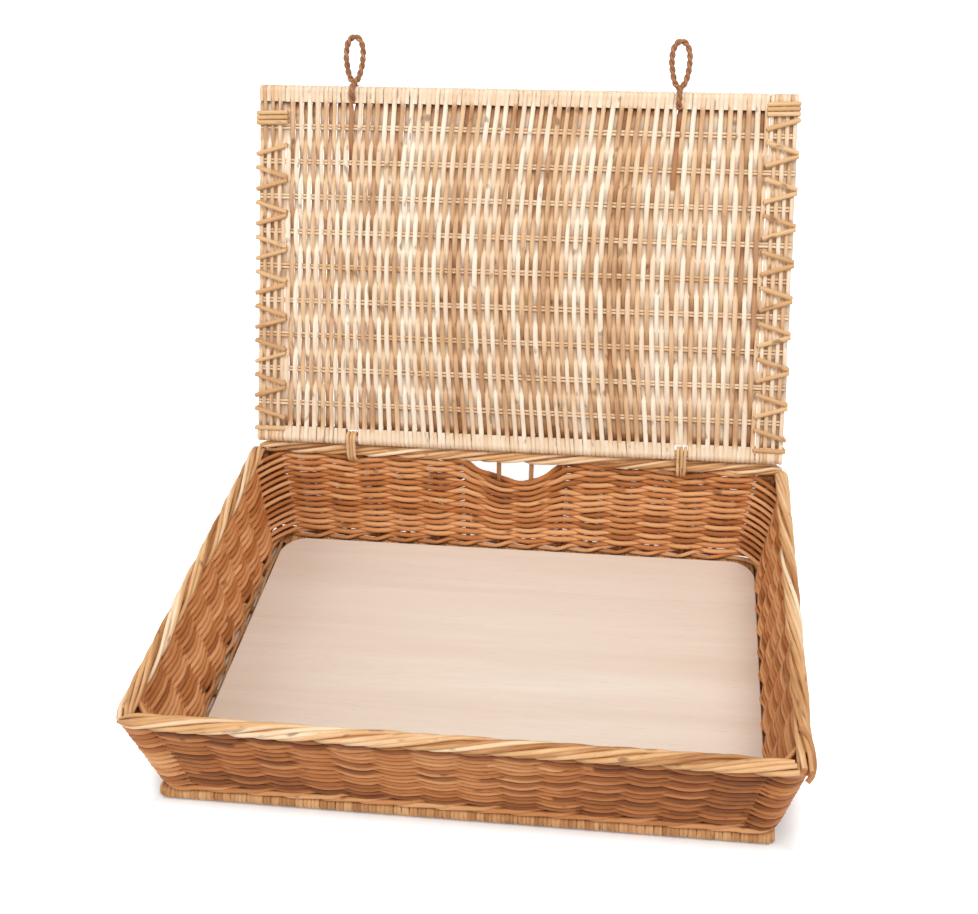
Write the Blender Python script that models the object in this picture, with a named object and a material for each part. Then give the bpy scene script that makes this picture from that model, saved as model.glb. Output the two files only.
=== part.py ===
"""Willow basket with a hinged willow lid and a loose plywood floor.

The basket is a low rectangular tray that widens towards its rim. Its walls are willow rods woven
between upright stakes, on a woven base whose long edges are wrapped sticks. The stakes are bent
over at the rim and make the border, so each length of border and its stakes are one piece. The lid
is woven on pairs of thin rods. Two pairs of willow rings round the rear border let its rear stick
turn, and two twisted loops grip its front stick.

Metres, +Z up. X runs along the basket, the hinges are at +Y, and the origin is the middle of the
underside. The lid stands open at rest, leaning back against its hinge rings.
"""

import math

import bmesh
import bpy
from mathutils import Matrix, Vector

# Overall sizes
rim_length = 0.560
rim_width = 0.380
basket_height = 0.125
base_length = 0.532
base_width = 0.338
corner_radius = 0.014

# Running and seating gap between neighbouring pieces
clearance = 0.0003

# Base
base_thickness = 0.0120
base_stick_thickness = 0.0080
base_stick_end = 0.0005
base_inner_sticks = 5
base_inner_stick_thickness = 0.0060
base_ridge_thickness = 0.0066
base_edge_reach = 0.0020

# Walls
stake_thickness = 0.0050
corner_post_thickness = 0.0070
weaver_thickness = 0.0032
ridge_thickness = 0.0050
stake_end_distance = 0.0330
stakes_on_long_side = 14
stakes_on_short_side = 9
wale_height = 0.0090
bulge_share = 0.16

# Hand slot in the rear wall, closed by the border above it
slot_height = 0.0190
slot_bays = 3
slot_end_wall = 0.0015

# Border
border_thickness = 0.0146

# Loose plywood floor
board_thickness = 0.0040
board_end_play = 0.0015
board_side_play = 0.0015
board_corner_radius = 0.0260

# Lid
lid_length = 0.5450
lid_reach = 0.3580
lid_lean = math.radians(27.0)
lid_stick_thickness = 0.0080
lid_wrap_thickness = 0.0125
lid_weave_thickness = 0.0078
lid_ridge_thickness = 0.0040
lid_rod_thickness = 0.0027
lid_rod_pairs = 9
lid_edge_width = 0.0270
pair_waist_share = 0.55

# Lashing round each side edge of the lid
lashing_thickness = 0.0026
lashing_spread = 0.0110
lashing_twin_spacing = 0.0040
lashing_front_turns = 3
lashing_rear_turns = 1

# Willow hinge rings, in this bay of the rear wall counted from its middle
hinge_bay = 5
ring_rod_thickness = 0.0052
ring_play = 0.0006
notch_play = 0.0010

# Twisted front loops
loop_left_distance = 0.1745
loop_right_distance = 0.1560
loop_rod_thickness = 0.0058
loop_width = 0.0260
loop_height = 0.0520
loop_neck_length = 0.0085
loop_neck_offset = 0.0022
loop_grip_opening = math.radians(30.0)
loop_narrowing_share = 0.20

# Fineness of the solids
rod_sides = 6
stick_sides = 12
border_sides = 16
tube_resolution = 1
arc_step = math.radians(20.0)
smooth_angle = math.radians(65.0)
cut_overrun = 0.0100
merge_distance = 0.00001

# Places worked out from the sizes above
stake_hole = stake_thickness + 2 * clearance
wall_reach = stake_thickness / 2 + weaver_thickness
ridge_reach = ridge_thickness / 2
foot_x = base_length / 2 - base_edge_reach - wall_reach
foot_y = base_width / 2 - base_edge_reach - wall_reach
border_x = (rim_length - border_thickness) / 2
border_y = (rim_width - border_thickness) / 2
border_z = basket_height - border_thickness / 2
wall_foot = base_thickness + clearance
wale_top = wall_foot + wale_height
wall_top = basket_height - border_thickness - clearance
slot_bottom = wall_top - slot_height
widening_x = (border_x / foot_x - 1) / (border_z - base_thickness)
widening_y = (border_y / foot_y - 1) / (border_z - base_thickness)

lid_pair_spacing = lid_reach / (lid_rod_pairs + 1)
lashing_radius = lashing_thickness / 2
lashing_level = lid_weave_thickness / 2 + clearance + lashing_radius
lid_seat = max(lid_wrap_thickness / 2, lashing_level + lashing_radius) + clearance
hinge_y = border_y
hinge_z = basket_height + lid_seat

ring_rod_radius = ring_rod_thickness / 2
ring_offset = (ring_rod_thickness + clearance) / 2
hinge_notch_half = ring_offset + ring_rod_radius + notch_play
ring_at_border = border_thickness / 2 + ring_play + ring_rod_radius
ring_at_stick = lid_stick_thickness / 2 + ring_play + ring_rod_radius
ring_reach = ring_at_border + ring_rod_radius
loop_rod_radius = loop_rod_thickness / 2
loop_grip = lid_wrap_thickness / 2 + ring_play + loop_rod_radius
loop_grip_reach = loop_grip + loop_rod_radius

# Colours as red, green and blue, with a roughness
buff_willow = ((0.50, 0.24, 0.09), 0.60)
pale_willow = ((0.78, 0.56, 0.32), 0.55)
cream_willow = ((0.82, 0.66, 0.45), 0.55)
twisted_willow = ((0.33, 0.15, 0.07), 0.65)
stake_willow = ((0.40, 0.20, 0.09), 0.65)
birch_plywood = ((0.76, 0.60, 0.43), 0.50)

# Walls in the order in which they follow round the basket, each with the corner at its far end
CORNER_AFTER = {"front": "front_right", "right": "rear_right", "rear": "rear_left", "left": "front_left"}
SIDES = tuple(CORNER_AFTER)
LONG_SIDES = ("front", "rear")
STAKES = {side: stakes_on_long_side if side in LONG_SIDES else stakes_on_short_side for side in SIDES}

# Places of the front loops along the lid, the left one further from its middle
LOOP_PLACES = {"left": -loop_left_distance, "right": loop_right_distance}


def clear_scene():
    """Remove every object that the open file holds."""
    for item in list(bpy.data.objects):
        bpy.data.objects.remove(item, do_unlink=True)


def new_collection(name):
    """Add a collection to the scene."""
    collection = bpy.data.collections.new(name)
    bpy.context.scene.collection.children.link(collection)
    return collection


def finish_of(name, finish):
    """Make a Principled material from a colour and a roughness."""
    colour, roughness = finish
    material = bpy.data.materials.new(name)
    material.use_nodes = True
    shader = material.node_tree.nodes["Principled BSDF"]
    shader.inputs["Base Color"].default_value = (*colour, 1.0)
    shader.inputs["Roughness"].default_value = roughness
    shader.inputs["Metallic"].default_value = 0.0
    material.diffuse_color = (*colour, 1.0)
    return material


def place(name, mesh, finish, parent=None):
    """Put a mesh in the basket's collection, under its own name and with its own material."""
    mesh.name = name
    mesh.materials.clear()
    mesh.materials.append(finish_of(name, finish))
    mesh.shade_smooth()
    mesh.set_sharp_from_angle(angle=smooth_angle)
    part = bpy.data.objects.new(name, mesh)
    parts.objects.link(part)
    part.parent = parent
    return part


def empty_at(name, location, parent=None, turn=0.0):
    """Add an empty that carries moving pieces, turned about X."""
    empty = bpy.data.objects.new(name, None)
    parts.objects.link(empty)
    empty.location = location
    empty.rotation_euler = (turn, 0.0, 0.0)
    empty.parent = parent
    return empty


def helper(name, mesh, parent=None):
    """Shape that only cuts or is joined on: kept apart, hidden and drawn as wire."""
    guide = bpy.data.objects.new(name, mesh)
    cutters.objects.link(guide)
    guide.parent = parent
    guide.hide_render = True
    guide.display_type = "WIRE"
    return guide


def combine(part, other, operation):
    """Cut another shape from a part, or join it on."""
    change = part.modifiers.new(operation.lower(), "BOOLEAN")
    change.operation = operation
    change.solver = "EXACT"
    change.object = other


def even_ends(shape):
    """Turn the edges inside the flat ends of an extrusion, so that no face there is a sliver."""
    ends = set()
    for face in shape.faces:
        heights = [vertex.co.z for vertex in face.verts]
        if max(heights) - min(heights) < merge_distance:
            ends.add(face)
    inner = [edge for edge in shape.edges if ends.issuperset(edge.link_faces)]
    bmesh.ops.beautify_fill(shape, faces=list(ends), edges=inner, method="ANGLE")


def mesh_of_curve(curve):
    """Turn a curve into a welded mesh, whose faces point outwards."""
    holder = bpy.data.objects.new(curve.name, curve)
    bpy.context.scene.collection.objects.link(holder)
    bpy.context.view_layer.update()
    evaluated = holder.evaluated_get(bpy.context.evaluated_depsgraph_get())
    mesh = bpy.data.meshes.new_from_object(evaluated)
    bpy.data.objects.remove(holder, do_unlink=True)
    shape = bmesh.new()
    shape.from_mesh(mesh)
    bmesh.ops.remove_doubles(shape, verts=shape.verts, dist=merge_distance)
    if curve.dimensions == "2D":
        even_ends(shape)
    bmesh.ops.recalc_face_normals(shape, faces=shape.faces)
    shape.to_mesh(mesh)
    shape.free()
    return mesh


def extruded(outlines, low, high):
    """Fill flat outlines, of which all but the first are holes, and give them a depth along Z."""
    curve = bpy.data.curves.new("outline", "CURVE")
    curve.dimensions = "2D"
    curve.fill_mode = "BOTH"
    curve.extrude = (high - low) / 2
    for outline in outlines:
        spline = curve.splines.new("POLY")
        spline.points.add(len(outline) - 1)
        for point, (across, along) in zip(spline.points, outline):
            point.co = (across, along, 0.0, 1.0)
        spline.use_cyclic_u = True
    mesh = mesh_of_curve(curve)
    mesh.transform(Matrix.Translation((0.0, 0.0, (low + high) / 2)))
    return mesh


def along_x(mesh):
    """Turn a mesh that runs along Z so that it runs along X, with its outline in Y and Z."""
    mesh.transform(Matrix(((0, 0, 1, 0), (1, 0, 0, 0), (0, 1, 0, 0), (0, 0, 0, 1))))
    return mesh


def corner_distance(thickness, sides):
    """Distance from the middle to a corner of a regular outline that is this thick across its flats."""
    return thickness / 2 / math.cos(math.pi / sides)


def round_outline(middle, thickness, sides):
    """Regular outline with one flat towards the second axis, as rods have in section."""
    radius = corner_distance(thickness, sides)
    step = 2 * math.pi / sides
    turns = [math.pi / 2 + step * (index + 0.5) for index in range(sides)]
    return [(middle[0] + radius * math.cos(turn), middle[1] + radius * math.sin(turn)) for turn in turns]


def rods(places, thickness, low, high, sides=rod_sides):
    """Straight rods along Z at the given places, each a primitive of its own."""
    shape = bmesh.new()
    radius = corner_distance(thickness, sides)
    half_step = Matrix.Rotation(math.pi / sides, 4, "Z")
    for across, along in places:
        middle = Matrix.Translation((across, along, (low + high) / 2))
        bmesh.ops.create_cone(
            shape, cap_ends=True, segments=sides, radius1=radius, radius2=radius,
            depth=high - low, matrix=middle @ half_step,
        )
    mesh = bpy.data.meshes.new("rods")
    shape.to_mesh(mesh)
    shape.free()
    return mesh


def sleeve(middle, thickness, core_thickness, start, end):
    """Hollow sleeve of wrapped weavers round a stick, along X."""
    outer = round_outline(middle, thickness, stick_sides)
    inner = round_outline(middle, core_thickness + 2 * clearance, stick_sides)
    return along_x(extruded([outer, inner], start, end))


def tube(points, thickness, closed):
    """Rod of even thickness through a row of points, as a welded mesh."""
    curve = bpy.data.curves.new("path", "CURVE")
    curve.dimensions = "3D"
    curve.bevel_depth = thickness / 2
    curve.bevel_resolution = tube_resolution
    curve.use_fill_caps = not closed
    spline = curve.splines.new("POLY")
    spline.points.add(len(points) - 1)
    for point, position in zip(spline.points, points):
        point.co = (*position, 1.0)
    spline.use_cyclic_u = closed
    return mesh_of_curve(curve)


def arc(middle, radius, start, end):
    """Points of an arc in a plane, at even steps no wider than the arc step."""
    steps = max(1, math.ceil(abs(end - start) / arc_step))
    turns = [start + (end - start) * index / steps for index in range(steps + 1)]
    return [(middle[0] + radius * math.cos(turn), middle[1] + radius * math.sin(turn)) for turn in turns]


def box(name, low, high, parent=None):
    """Box that only cuts, from its lowest corner to its highest."""
    mesh = bpy.data.meshes.new(name)
    shape = bmesh.new()
    bmesh.ops.create_cube(shape, size=1.0)
    size = Matrix.Diagonal((*(Vector(high) - Vector(low)), 1.0))
    middle = Matrix.Translation((Vector(high) + Vector(low)) / 2)
    bmesh.ops.transform(shape, matrix=middle @ size, verts=shape.verts)
    shape.to_mesh(mesh)
    shape.free()
    return helper(name, mesh, parent)


# Walls
def widened(mesh):
    """Spread a wall piece outwards as it rises, the way the basket widens from base to rim."""
    for vertex in mesh.vertices:
        rise = vertex.co.z - base_thickness
        vertex.co.x *= 1 + widening_x * rise
        vertex.co.y *= 1 + widening_y * rise
    return mesh


def half_reach(side, half_x, half_y):
    """Pick the half size that a wall stands at: long walls stand at half the width."""
    return half_y if side in LONG_SIDES else half_x


def on_side(side, along, outward):
    """Plan position of a point of a wall, from its place along the wall and its distance outwards."""
    across, back = along, -(half_reach(side, foot_x, foot_y) + outward)
    for _ in range(SIDES.index(side)):
        across, back = -back, across
    return across, back


def straight_half(side):
    """Half the straight length of a wall, between its rounded corners."""
    return half_reach(side, foot_y, foot_x) - corner_radius


def stake_spacing(side):
    """Distance between neighbouring stakes of a wall, which share out its straight length evenly."""
    return 2 * (straight_half(side) - stake_end_distance) / (STAKES[side] - 1)


def stake_row(side):
    """Places along a wall where its stakes stand."""
    return [(index - (STAKES[side] - 1) / 2) * stake_spacing(side) for index in range(STAKES[side])]


def hinge_place():
    """Distance of each hinge from the middle: halfway between two stakes of the rear border."""
    return hinge_bay * stake_spacing("rear") * (1 + widening_x * (border_z - base_thickness))


def wall_edge(side):
    """Outer edge of a wall's plan: swollen round each stake and thin between them."""
    half, spacing = straight_half(side), stake_spacing(side)
    edge = [(-half, ridge_reach)]
    for index, stake in enumerate(stake_row(side)):
        if index:
            edge.append((stake - spacing / 2, ridge_reach))
        edge.append((stake - bulge_share * spacing, wall_reach))
        edge.append((stake + bulge_share * spacing, wall_reach))
    edge.append((half, ridge_reach))
    return edge


def stake_holes(side):
    """Plan of the holes that a wall's stakes stand in."""
    return [round_outline(on_side(side, stake, 0.0), stake_hole, rod_sides) for stake in stake_row(side)]


def post_place(side):
    """Plan position of the post in the corner at a wall's far end."""
    across = corner_radius * math.sin(math.pi / 4)
    return on_side(side, straight_half(side) + across, across - corner_radius)


def post_hole(side):
    """Plan of the hole that a corner post stands in."""
    return round_outline(post_place(side), corner_post_thickness + 2 * clearance, rod_sides)


def corner_swell(side):
    """Outer edge of the weave round the post in the corner at a wall's far end."""
    swell = corner_radius + corner_post_thickness / 2 + weaver_thickness
    shoulder = (swell + corner_radius + ridge_reach) / 2
    edge = []
    for radius, turn in ((shoulder, math.pi / 8), (swell, math.pi / 4), (shoulder, 3 * math.pi / 8)):
        along = straight_half(side) + radius * math.sin(turn)
        edge.append((along, radius * math.cos(turn) - corner_radius))
    return edge


def build_upsett():
    """Band of thicker twining that sets the stakes upright, one ring round the foot of the walls."""
    outside, inside, holes = [], [], []
    for side in SIDES:
        outside += [on_side(side, along, outward) for along, outward in wall_edge(side) + corner_swell(side)]
        inside += [on_side(side, along, -outward) for along, outward in wall_edge(side)]
        holes += stake_holes(side) + [post_hole(side)]
    place("upsett_wale", widened(extruded([outside, inside] + holes, wall_foot, wale_top)), buff_willow)


def build_weave():
    """Woven walls and corners above the upsett."""
    low = wale_top + clearance
    for side, corner in CORNER_AFTER.items():
        edge = wall_edge(side)
        both = edge + [(along, -outward) for along, outward in reversed(edge)]
        outline = [on_side(side, along, outward) for along, outward in both]
        mesh = widened(extruded([outline] + stake_holes(side), low, wall_top))
        wall = place(f"{side}_weave", mesh, buff_willow)
        if side == "rear":
            cut_rear_wall(wall)
        start = straight_half(side) + clearance
        end = clearance - corner_radius
        turn = [(start, ridge_reach)] + corner_swell(side)
        turn += [(straight_half(side) + corner_radius + ridge_reach, end)]
        turn += [(straight_half(side) + corner_radius - ridge_reach, end), (start, -ridge_reach)]
        outline = [on_side(side, along, outward) for along, outward in turn]
        mesh = extruded([outline, post_hole(side)], low, wall_top)
        place(f"corner_weave_{corner}", widened(mesh), buff_willow)


def cut_rear_wall(wall):
    """Leave the hand slot open in the rear weave, and room for the hinge rings to pass through it."""
    hole_reach = corner_distance(stake_hole, rod_sides)
    slot_half = slot_bays * stake_spacing("rear") / 2 - hole_reach - slot_end_wall
    near, far = foot_y - cut_overrun, foot_y + cut_overrun
    plan = [(-slot_half, near), (slot_half, near), (slot_half, far), (-slot_half, far)]
    slot = widened(extruded([plan], slot_bottom, wall_top + cut_overrun))
    combine(wall, helper("hand_slot", slot), "DIFFERENCE")
    low = border_z - ring_reach - clearance
    for name, sign in (("left", -1), ("right", 1)):
        notch = box(
            f"hinge_notch_{name}",
            (sign * hinge_place() - hinge_notch_half, border_y - wall_reach - cut_overrun, low),
            (sign * hinge_place() + hinge_notch_half, border_y + wall_reach + cut_overrun, basket_height),
        )
        combine(wall, notch, "DIFFERENCE")


def build_corner_posts():
    """A thicker post upright in each corner."""
    for side, corner in CORNER_AFTER.items():
        post = rods([post_place(side)], corner_post_thickness, wall_foot, wall_top)
        place(f"corner_post_{corner}", widened(post), stake_willow)


def build_border():
    """Border along each wall, in one piece with the stakes that are bent over into it.

    The front and rear lengths run the whole length of the rim, and the side ones are let in
    between them.
    """
    side_half = border_y - corner_distance(border_thickness, border_sides) - clearance
    for index, side in enumerate(SIDES):
        half = half_reach(side, side_half, rim_length / 2)
        middle = (-half_reach(side, border_x, border_y), border_z)
        length = along_x(rods([middle], border_thickness, -half, half, border_sides))
        length.transform(Matrix.Rotation(index * math.pi / 2, 4, "Z"))
        border = place(f"{side}_border_and_stakes", length, pale_willow)
        places = [on_side(side, stake, 0.0) for stake in stake_row(side)]
        stakes = widened(rods(places, stake_thickness, wall_foot, border_z))
        combine(border, helper(f"{side}_stakes", stakes), "UNION")


# Base and floor
def swollen_section(middles, half, thickness, ridge):
    """Section of a woven sheet, swollen at each stick that it is woven on and thin between them.

    The sticks share out the sheet's width evenly about its middle.
    """
    spacing = middles[1] - middles[0]
    edge = [(-half, ridge / 2)]
    for index, middle in enumerate(middles):
        if index:
            edge.append((middle - spacing / 2, ridge / 2))
        edge.append((middle - bulge_share * spacing, thickness / 2))
        edge.append((middle + bulge_share * spacing, thickness / 2))
    edge.append((half, ridge / 2))
    return edge + [(across, -rise) for across, rise in reversed(edge)]


def build_base():
    """Woven base on five inner sticks, between two long sticks that its weavers wrap."""
    edge_y = (base_width - base_thickness) / 2
    middle_z = base_thickness / 2
    weave_half = edge_y - base_thickness / 2 - clearance
    half = base_length / 2
    spacing = 2 * edge_y / (base_inner_sticks + 1)
    first = -(base_inner_sticks - 1) / 2 * spacing
    middles = [(first + index * spacing, middle_z) for index in range(base_inner_sticks)]
    section = swollen_section([across for across, _ in middles], weave_half, base_thickness, base_ridge_thickness)
    sheet = [(across, middle_z + rise) for across, rise in section]
    channel = base_inner_stick_thickness + 2 * clearance
    channels = [round_outline(middle, channel, rod_sides) for middle in middles]
    place("base_weave", along_x(extruded([sheet] + channels, -half, half)), buff_willow)
    for index, middle in enumerate(middles):
        stick = along_x(rods([middle], base_inner_stick_thickness, -half, half))
        place(f"base_inner_stick_{index + 1}", stick, stake_willow)
    wrap_half = half - base_stick_end
    for name, sign in (("front", -1), ("rear", 1)):
        middle = (sign * edge_y, middle_z)
        stick = along_x(rods([middle], base_stick_thickness, -half, half, stick_sides))
        place(f"base_{name}_stick", stick, stake_willow)
        wrap = sleeve(middle, base_thickness, base_stick_thickness, -wrap_half, wrap_half)
        place(f"base_{name}_wrap", wrap, buff_willow)


def build_floor_board():
    """Loose plywood floor with rounded corners, lying on the base inside the walls."""
    half_x = foot_x - wall_reach - board_end_play
    half_y = foot_y - wall_reach - board_side_play
    inner_x, inner_y = half_x - board_corner_radius, half_y - board_corner_radius
    outline = []
    for quarter, (sign_x, sign_y) in enumerate(((1, 1), (-1, 1), (-1, -1), (1, -1))):
        start = quarter * math.pi / 2
        middle = (sign_x * inner_x, sign_y * inner_y)
        outline += arc(middle, board_corner_radius, start, start + math.pi / 2)
    low = base_thickness + clearance
    place("floor_board", extruded([outline], low, low + board_thickness), birch_plywood)


# Lid, in its own axes: X along the basket, Y away from the hinges, Z out of its inside face
def sheet_outline():
    """Section of the lid's weave, swollen at each pair of rods and thin between them."""
    half = lid_reach / 2 - lid_wrap_thickness / 2 - clearance
    middles = [(index + 1) * lid_pair_spacing - lid_reach / 2 for index in range(lid_rod_pairs)]
    section = swollen_section(middles, half, lid_weave_thickness, lid_ridge_thickness)
    return [(lid_reach / 2 + along, level) for along, level in section]


def rod_pair(along):
    """Section of two rods that lie side by side and touch, and of the channel that they share."""
    offset = corner_distance(lid_rod_thickness, rod_sides)
    waist = pair_waist_share * lid_rod_thickness / 2
    first = round_outline((along - offset, 0.0), lid_rod_thickness, rod_sides)
    second = round_outline((along + offset, 0.0), lid_rod_thickness, rod_sides)
    pair = first[:4] + [(along, -waist)] + second[2:] + second[:1] + [(along, waist)] + first[5:]
    outer = lid_rod_thickness + 2 * clearance
    first = round_outline((along - offset, 0.0), outer, rod_sides)
    second = round_outline((along + offset, 0.0), outer, rod_sides)
    return pair, first[:3] + second[3:]


def build_lid_sheet(lid):
    """Woven middle of the lid, its two side edges, and the pairs of rods that run through all three."""
    half = lid_length / 2
    outlines = [sheet_outline()]
    for index in range(lid_rod_pairs):
        pair, channel = rod_pair((index + 1) * lid_pair_spacing)
        outlines.append(channel)
        place(f"lid_rod_pair_{index + 1}", along_x(extruded([pair], -half, half)), pale_willow, lid)
    edge_start = half - lid_edge_width
    middle_half = edge_start - lashing_thickness - 2 * clearance
    sheet = place("lid_weave", along_x(extruded(outlines, -middle_half, middle_half)), cream_willow, lid)
    for name, start, end in (("left", -half, -edge_start), ("right", edge_start, half)):
        place(f"lid_{name}_edge_weave", along_x(extruded(outlines, start, end)), cream_willow, lid)
    loop_half = loop_rod_radius + notch_play
    loop_start = lid_reach - loop_grip_reach - clearance
    for name, sign in (("left", -1), ("right", 1)):
        hinge_notch = box(
            f"lid_hinge_notch_{name}",
            (sign * hinge_place() - hinge_notch_half, 0.0, -lid_weave_thickness),
            (sign * hinge_place() + hinge_notch_half, ring_reach + clearance, lid_weave_thickness),
            lid,
        )
        combine(sheet, hinge_notch, "DIFFERENCE")
        loop_notch = box(
            f"lid_loop_notch_{name}",
            (LOOP_PLACES[name] - loop_half, loop_start, -lid_weave_thickness),
            (LOOP_PLACES[name] + loop_half, lid_reach, lid_weave_thickness),
            lid,
        )
        combine(sheet, loop_notch, "DIFFERENCE")


def build_lid_sticks(lid):
    """Thick sticks along the lid's front and rear edges, with the weavers wrapped round them."""
    half = lid_length / 2
    for name, along in (("rear", 0.0), ("front", lid_reach)):
        stick = along_x(rods([(along, 0.0)], lid_stick_thickness, -half, half, stick_sides))
        place(f"lid_{name}_stick", stick, pale_willow, lid)
    inner, outer = hinge_place() - hinge_notch_half, hinge_place() + hinge_notch_half
    stretches = {
        "lid_front_wrap": (lid_reach, -half, half),
        "lid_rear_wrap_left": (0.0, -half, -outer),
        "lid_rear_wrap_middle": (0.0, -inner, inner),
        "lid_rear_wrap_right": (0.0, outer, half),
    }
    for name, (along, start, end) in stretches.items():
        wrap = sleeve((along, 0.0), lid_wrap_thickness, lid_stick_thickness, start, end)
        place(name, wrap, cream_willow, lid)


def leading_lashing():
    """Turns of the rod that lashes a lid edge first: where each meets its twin and where it spreads.

    Each turn crosses the inside face in a slant, and the first and the last turns cross it straight.
    """
    first_turn = corner_distance(lid_wrap_thickness, stick_sides) + clearance + lashing_radius
    turn_spacing = lashing_thickness + clearance
    turns = [(first_turn + index * turn_spacing,) * 2 for index in range(lashing_rear_turns)]
    for index in range(lid_rod_pairs):
        meeting = (index + 1.5) * lid_pair_spacing
        turns.append((meeting - lashing_spread, meeting - lashing_twin_spacing / 2))
    for index in reversed(range(lashing_front_turns)):
        turns.append((lid_reach - first_turn - index * turn_spacing,) * 2)
    return turns


def build_lashings(lid):
    """Two rods that bind each side edge of the lid and draw a row of arrowheads on its inside face.

    The leading rod runs to a meeting point halfway between two pairs of rods, and the trailing rod
    runs out from there. On the outside face the trailing rod crosses over the leading one. All the
    arrowheads point the same way, so they meet at the inner edge on the left and at the outer edge
    on the right.
    """
    outer = lid_length / 2 + clearance + lashing_radius
    inner = lid_length / 2 - lid_edge_width - clearance - lashing_radius
    over = lashing_level + lashing_thickness + clearance
    for name, spread_x, meeting_x in (("left", -outer, -inner), ("right", inner, outer)):
        leading, trailing = [], []
        for spread, meeting in leading_lashing():
            leading += [(spread_x, spread, -lashing_level), (spread_x, spread, lashing_level)]
            leading += [(meeting_x, meeting, lashing_level), (meeting_x, meeting, -lashing_level)]
        for index in range(lid_rod_pairs):
            middle = (index + 0.5) * lid_pair_spacing
            meeting, spread = middle + lashing_twin_spacing / 2, middle + lashing_spread
            trailing += [(meeting_x, meeting, -over), (meeting_x, meeting, lashing_level)]
            trailing += [(spread_x, spread, lashing_level), (spread_x, spread, -over)]
        for kind, points in (("leading", leading), ("trailing", trailing)):
            rod = tube(points, lashing_thickness, closed=False)
            place(f"lid_{name}_lashing_{kind}", rod, pale_willow, lid)


# Hinge rings and front loops
def build_hinges():
    """Rings of willow, two to a hinge, that tie the lid's rear stick to the rear border."""
    tilt = math.asin((ring_at_border - ring_at_stick) / (hinge_z - border_z))
    above = arc((hinge_y, hinge_z), ring_at_stick, tilt, math.pi - tilt)
    below = arc((border_y, border_z), ring_at_border, math.pi - tilt, 2 * math.pi + tilt)
    for name, sign in (("left", -1), ("right", 1)):
        for kind, offset in (("inner", -ring_offset), ("outer", ring_offset)):
            ring_x = sign * (hinge_place() + offset)
            points = [(ring_x, across, height) for across, height in above + below]
            ring = tube(points, ring_rod_thickness, closed=True)
            place(f"hinge_ring_{name}_{kind}", ring, pale_willow)


def loop_points():
    """Path of a front loop: a grip round the front stick, a neck turned a quarter, and an open eye."""
    grip = arc((0.0, 0.0), loop_grip, loop_grip_opening, 2 * math.pi - loop_grip_opening)
    points = [(0.0, along, level) for along, level in grip]
    neck = lid_wrap_thickness / 2 + loop_neck_length
    top = lid_wrap_thickness / 2 + loop_height - loop_rod_radius
    eye_half = loop_width / 2 - loop_rod_radius
    steps = 2 * math.ceil(math.pi / arc_step)
    for index in range(steps + 1):
        turn = 2 * math.pi * index / steps
        closing = (1 + math.cos(turn)) / 2
        across = eye_half * math.sin(turn) * (1 - loop_narrowing_share * math.cos(turn))
        offset = loop_neck_offset * closing ** 2 * (1 if turn < math.pi else -1)
        along = neck + (top - neck) * (1 - closing)
        points.append((-across - offset, along, -offset))
    return points


def build_loops(lid):
    """Two loops of twisted willow that turn on the lid's front stick."""
    for name, loop_place in LOOP_PLACES.items():
        axis = empty_at(f"loop_{name}_axis", (loop_place, lid_reach, 0.0), lid)
        place(f"loop_{name}", tube(loop_points(), loop_rod_thickness, closed=True), twisted_willow, axis)


clear_scene()
parts = new_collection("pie_basket")
cutters = new_collection("cutters")
cutters.hide_render = True
build_base()
build_floor_board()
build_upsett()
build_weave()
build_corner_posts()
build_border()
lid_axis = empty_at("lid_axis", (0.0, hinge_y, hinge_z), None, math.pi / 2 - lid_lean)
build_lid_sheet(lid_axis)
build_lid_sticks(lid_axis)
build_lashings(lid_axis)
build_hinges()
build_loops(lid_axis)
bpy.context.view_layer.update()

closed_rise = loop_grip_reach + clearance - (hinge_z - basket_height)
closing_turn = math.pi / 2 + lid_lean - math.asin(closed_rise / lid_reach)
print(f"hinge axis at y {hinge_y:.4f} m, z {hinge_z:.4f} m; hinges at x {hinge_place():.4f} m")
print(f"closing turn {math.degrees(closing_turn):.2f} degrees")
print(f"stakes {stake_spacing('rear'):.4f} m apart in the long walls, {stake_spacing('left'):.4f} m in the short")
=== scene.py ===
# %% [markdown]
# # A willow pie basket
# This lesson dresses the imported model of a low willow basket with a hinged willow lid. The solids of
# the model give every size and every motion; here each of them gets the rods that it stands for.
# Nearly everything in a basket is one thing, a rod that bends over and under others. So the lesson
# builds one good rod tool first, and then lays rods the way a basket maker does: base, upsett,
# walls, border, lid, hinges and loops.

# %% Load the frame
import math

import bpy
import numpy as np
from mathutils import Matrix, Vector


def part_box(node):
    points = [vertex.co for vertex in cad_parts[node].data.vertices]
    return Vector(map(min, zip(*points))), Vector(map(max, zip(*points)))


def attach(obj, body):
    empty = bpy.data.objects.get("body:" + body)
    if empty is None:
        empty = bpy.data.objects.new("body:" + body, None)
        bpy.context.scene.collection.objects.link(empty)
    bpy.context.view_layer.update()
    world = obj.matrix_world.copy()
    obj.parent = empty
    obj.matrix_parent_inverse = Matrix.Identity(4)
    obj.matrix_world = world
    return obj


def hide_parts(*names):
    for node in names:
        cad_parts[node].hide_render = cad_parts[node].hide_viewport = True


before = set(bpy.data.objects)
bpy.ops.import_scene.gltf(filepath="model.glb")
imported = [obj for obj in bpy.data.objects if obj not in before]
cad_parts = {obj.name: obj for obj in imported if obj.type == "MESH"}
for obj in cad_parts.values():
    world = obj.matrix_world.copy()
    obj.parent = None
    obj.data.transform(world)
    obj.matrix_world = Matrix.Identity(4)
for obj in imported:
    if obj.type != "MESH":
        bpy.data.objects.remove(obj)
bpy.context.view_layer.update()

# %% [markdown]
# ## Sizes of the basket
# The walls stand on a rounded rectangle and lean outwards, so a place on a wall is a place on that
# rectangle at the foot, spread by how high it is. These values are the ones that the solids were
# made with, in metres. Half sizes are measured from the basket's middle.

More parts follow.
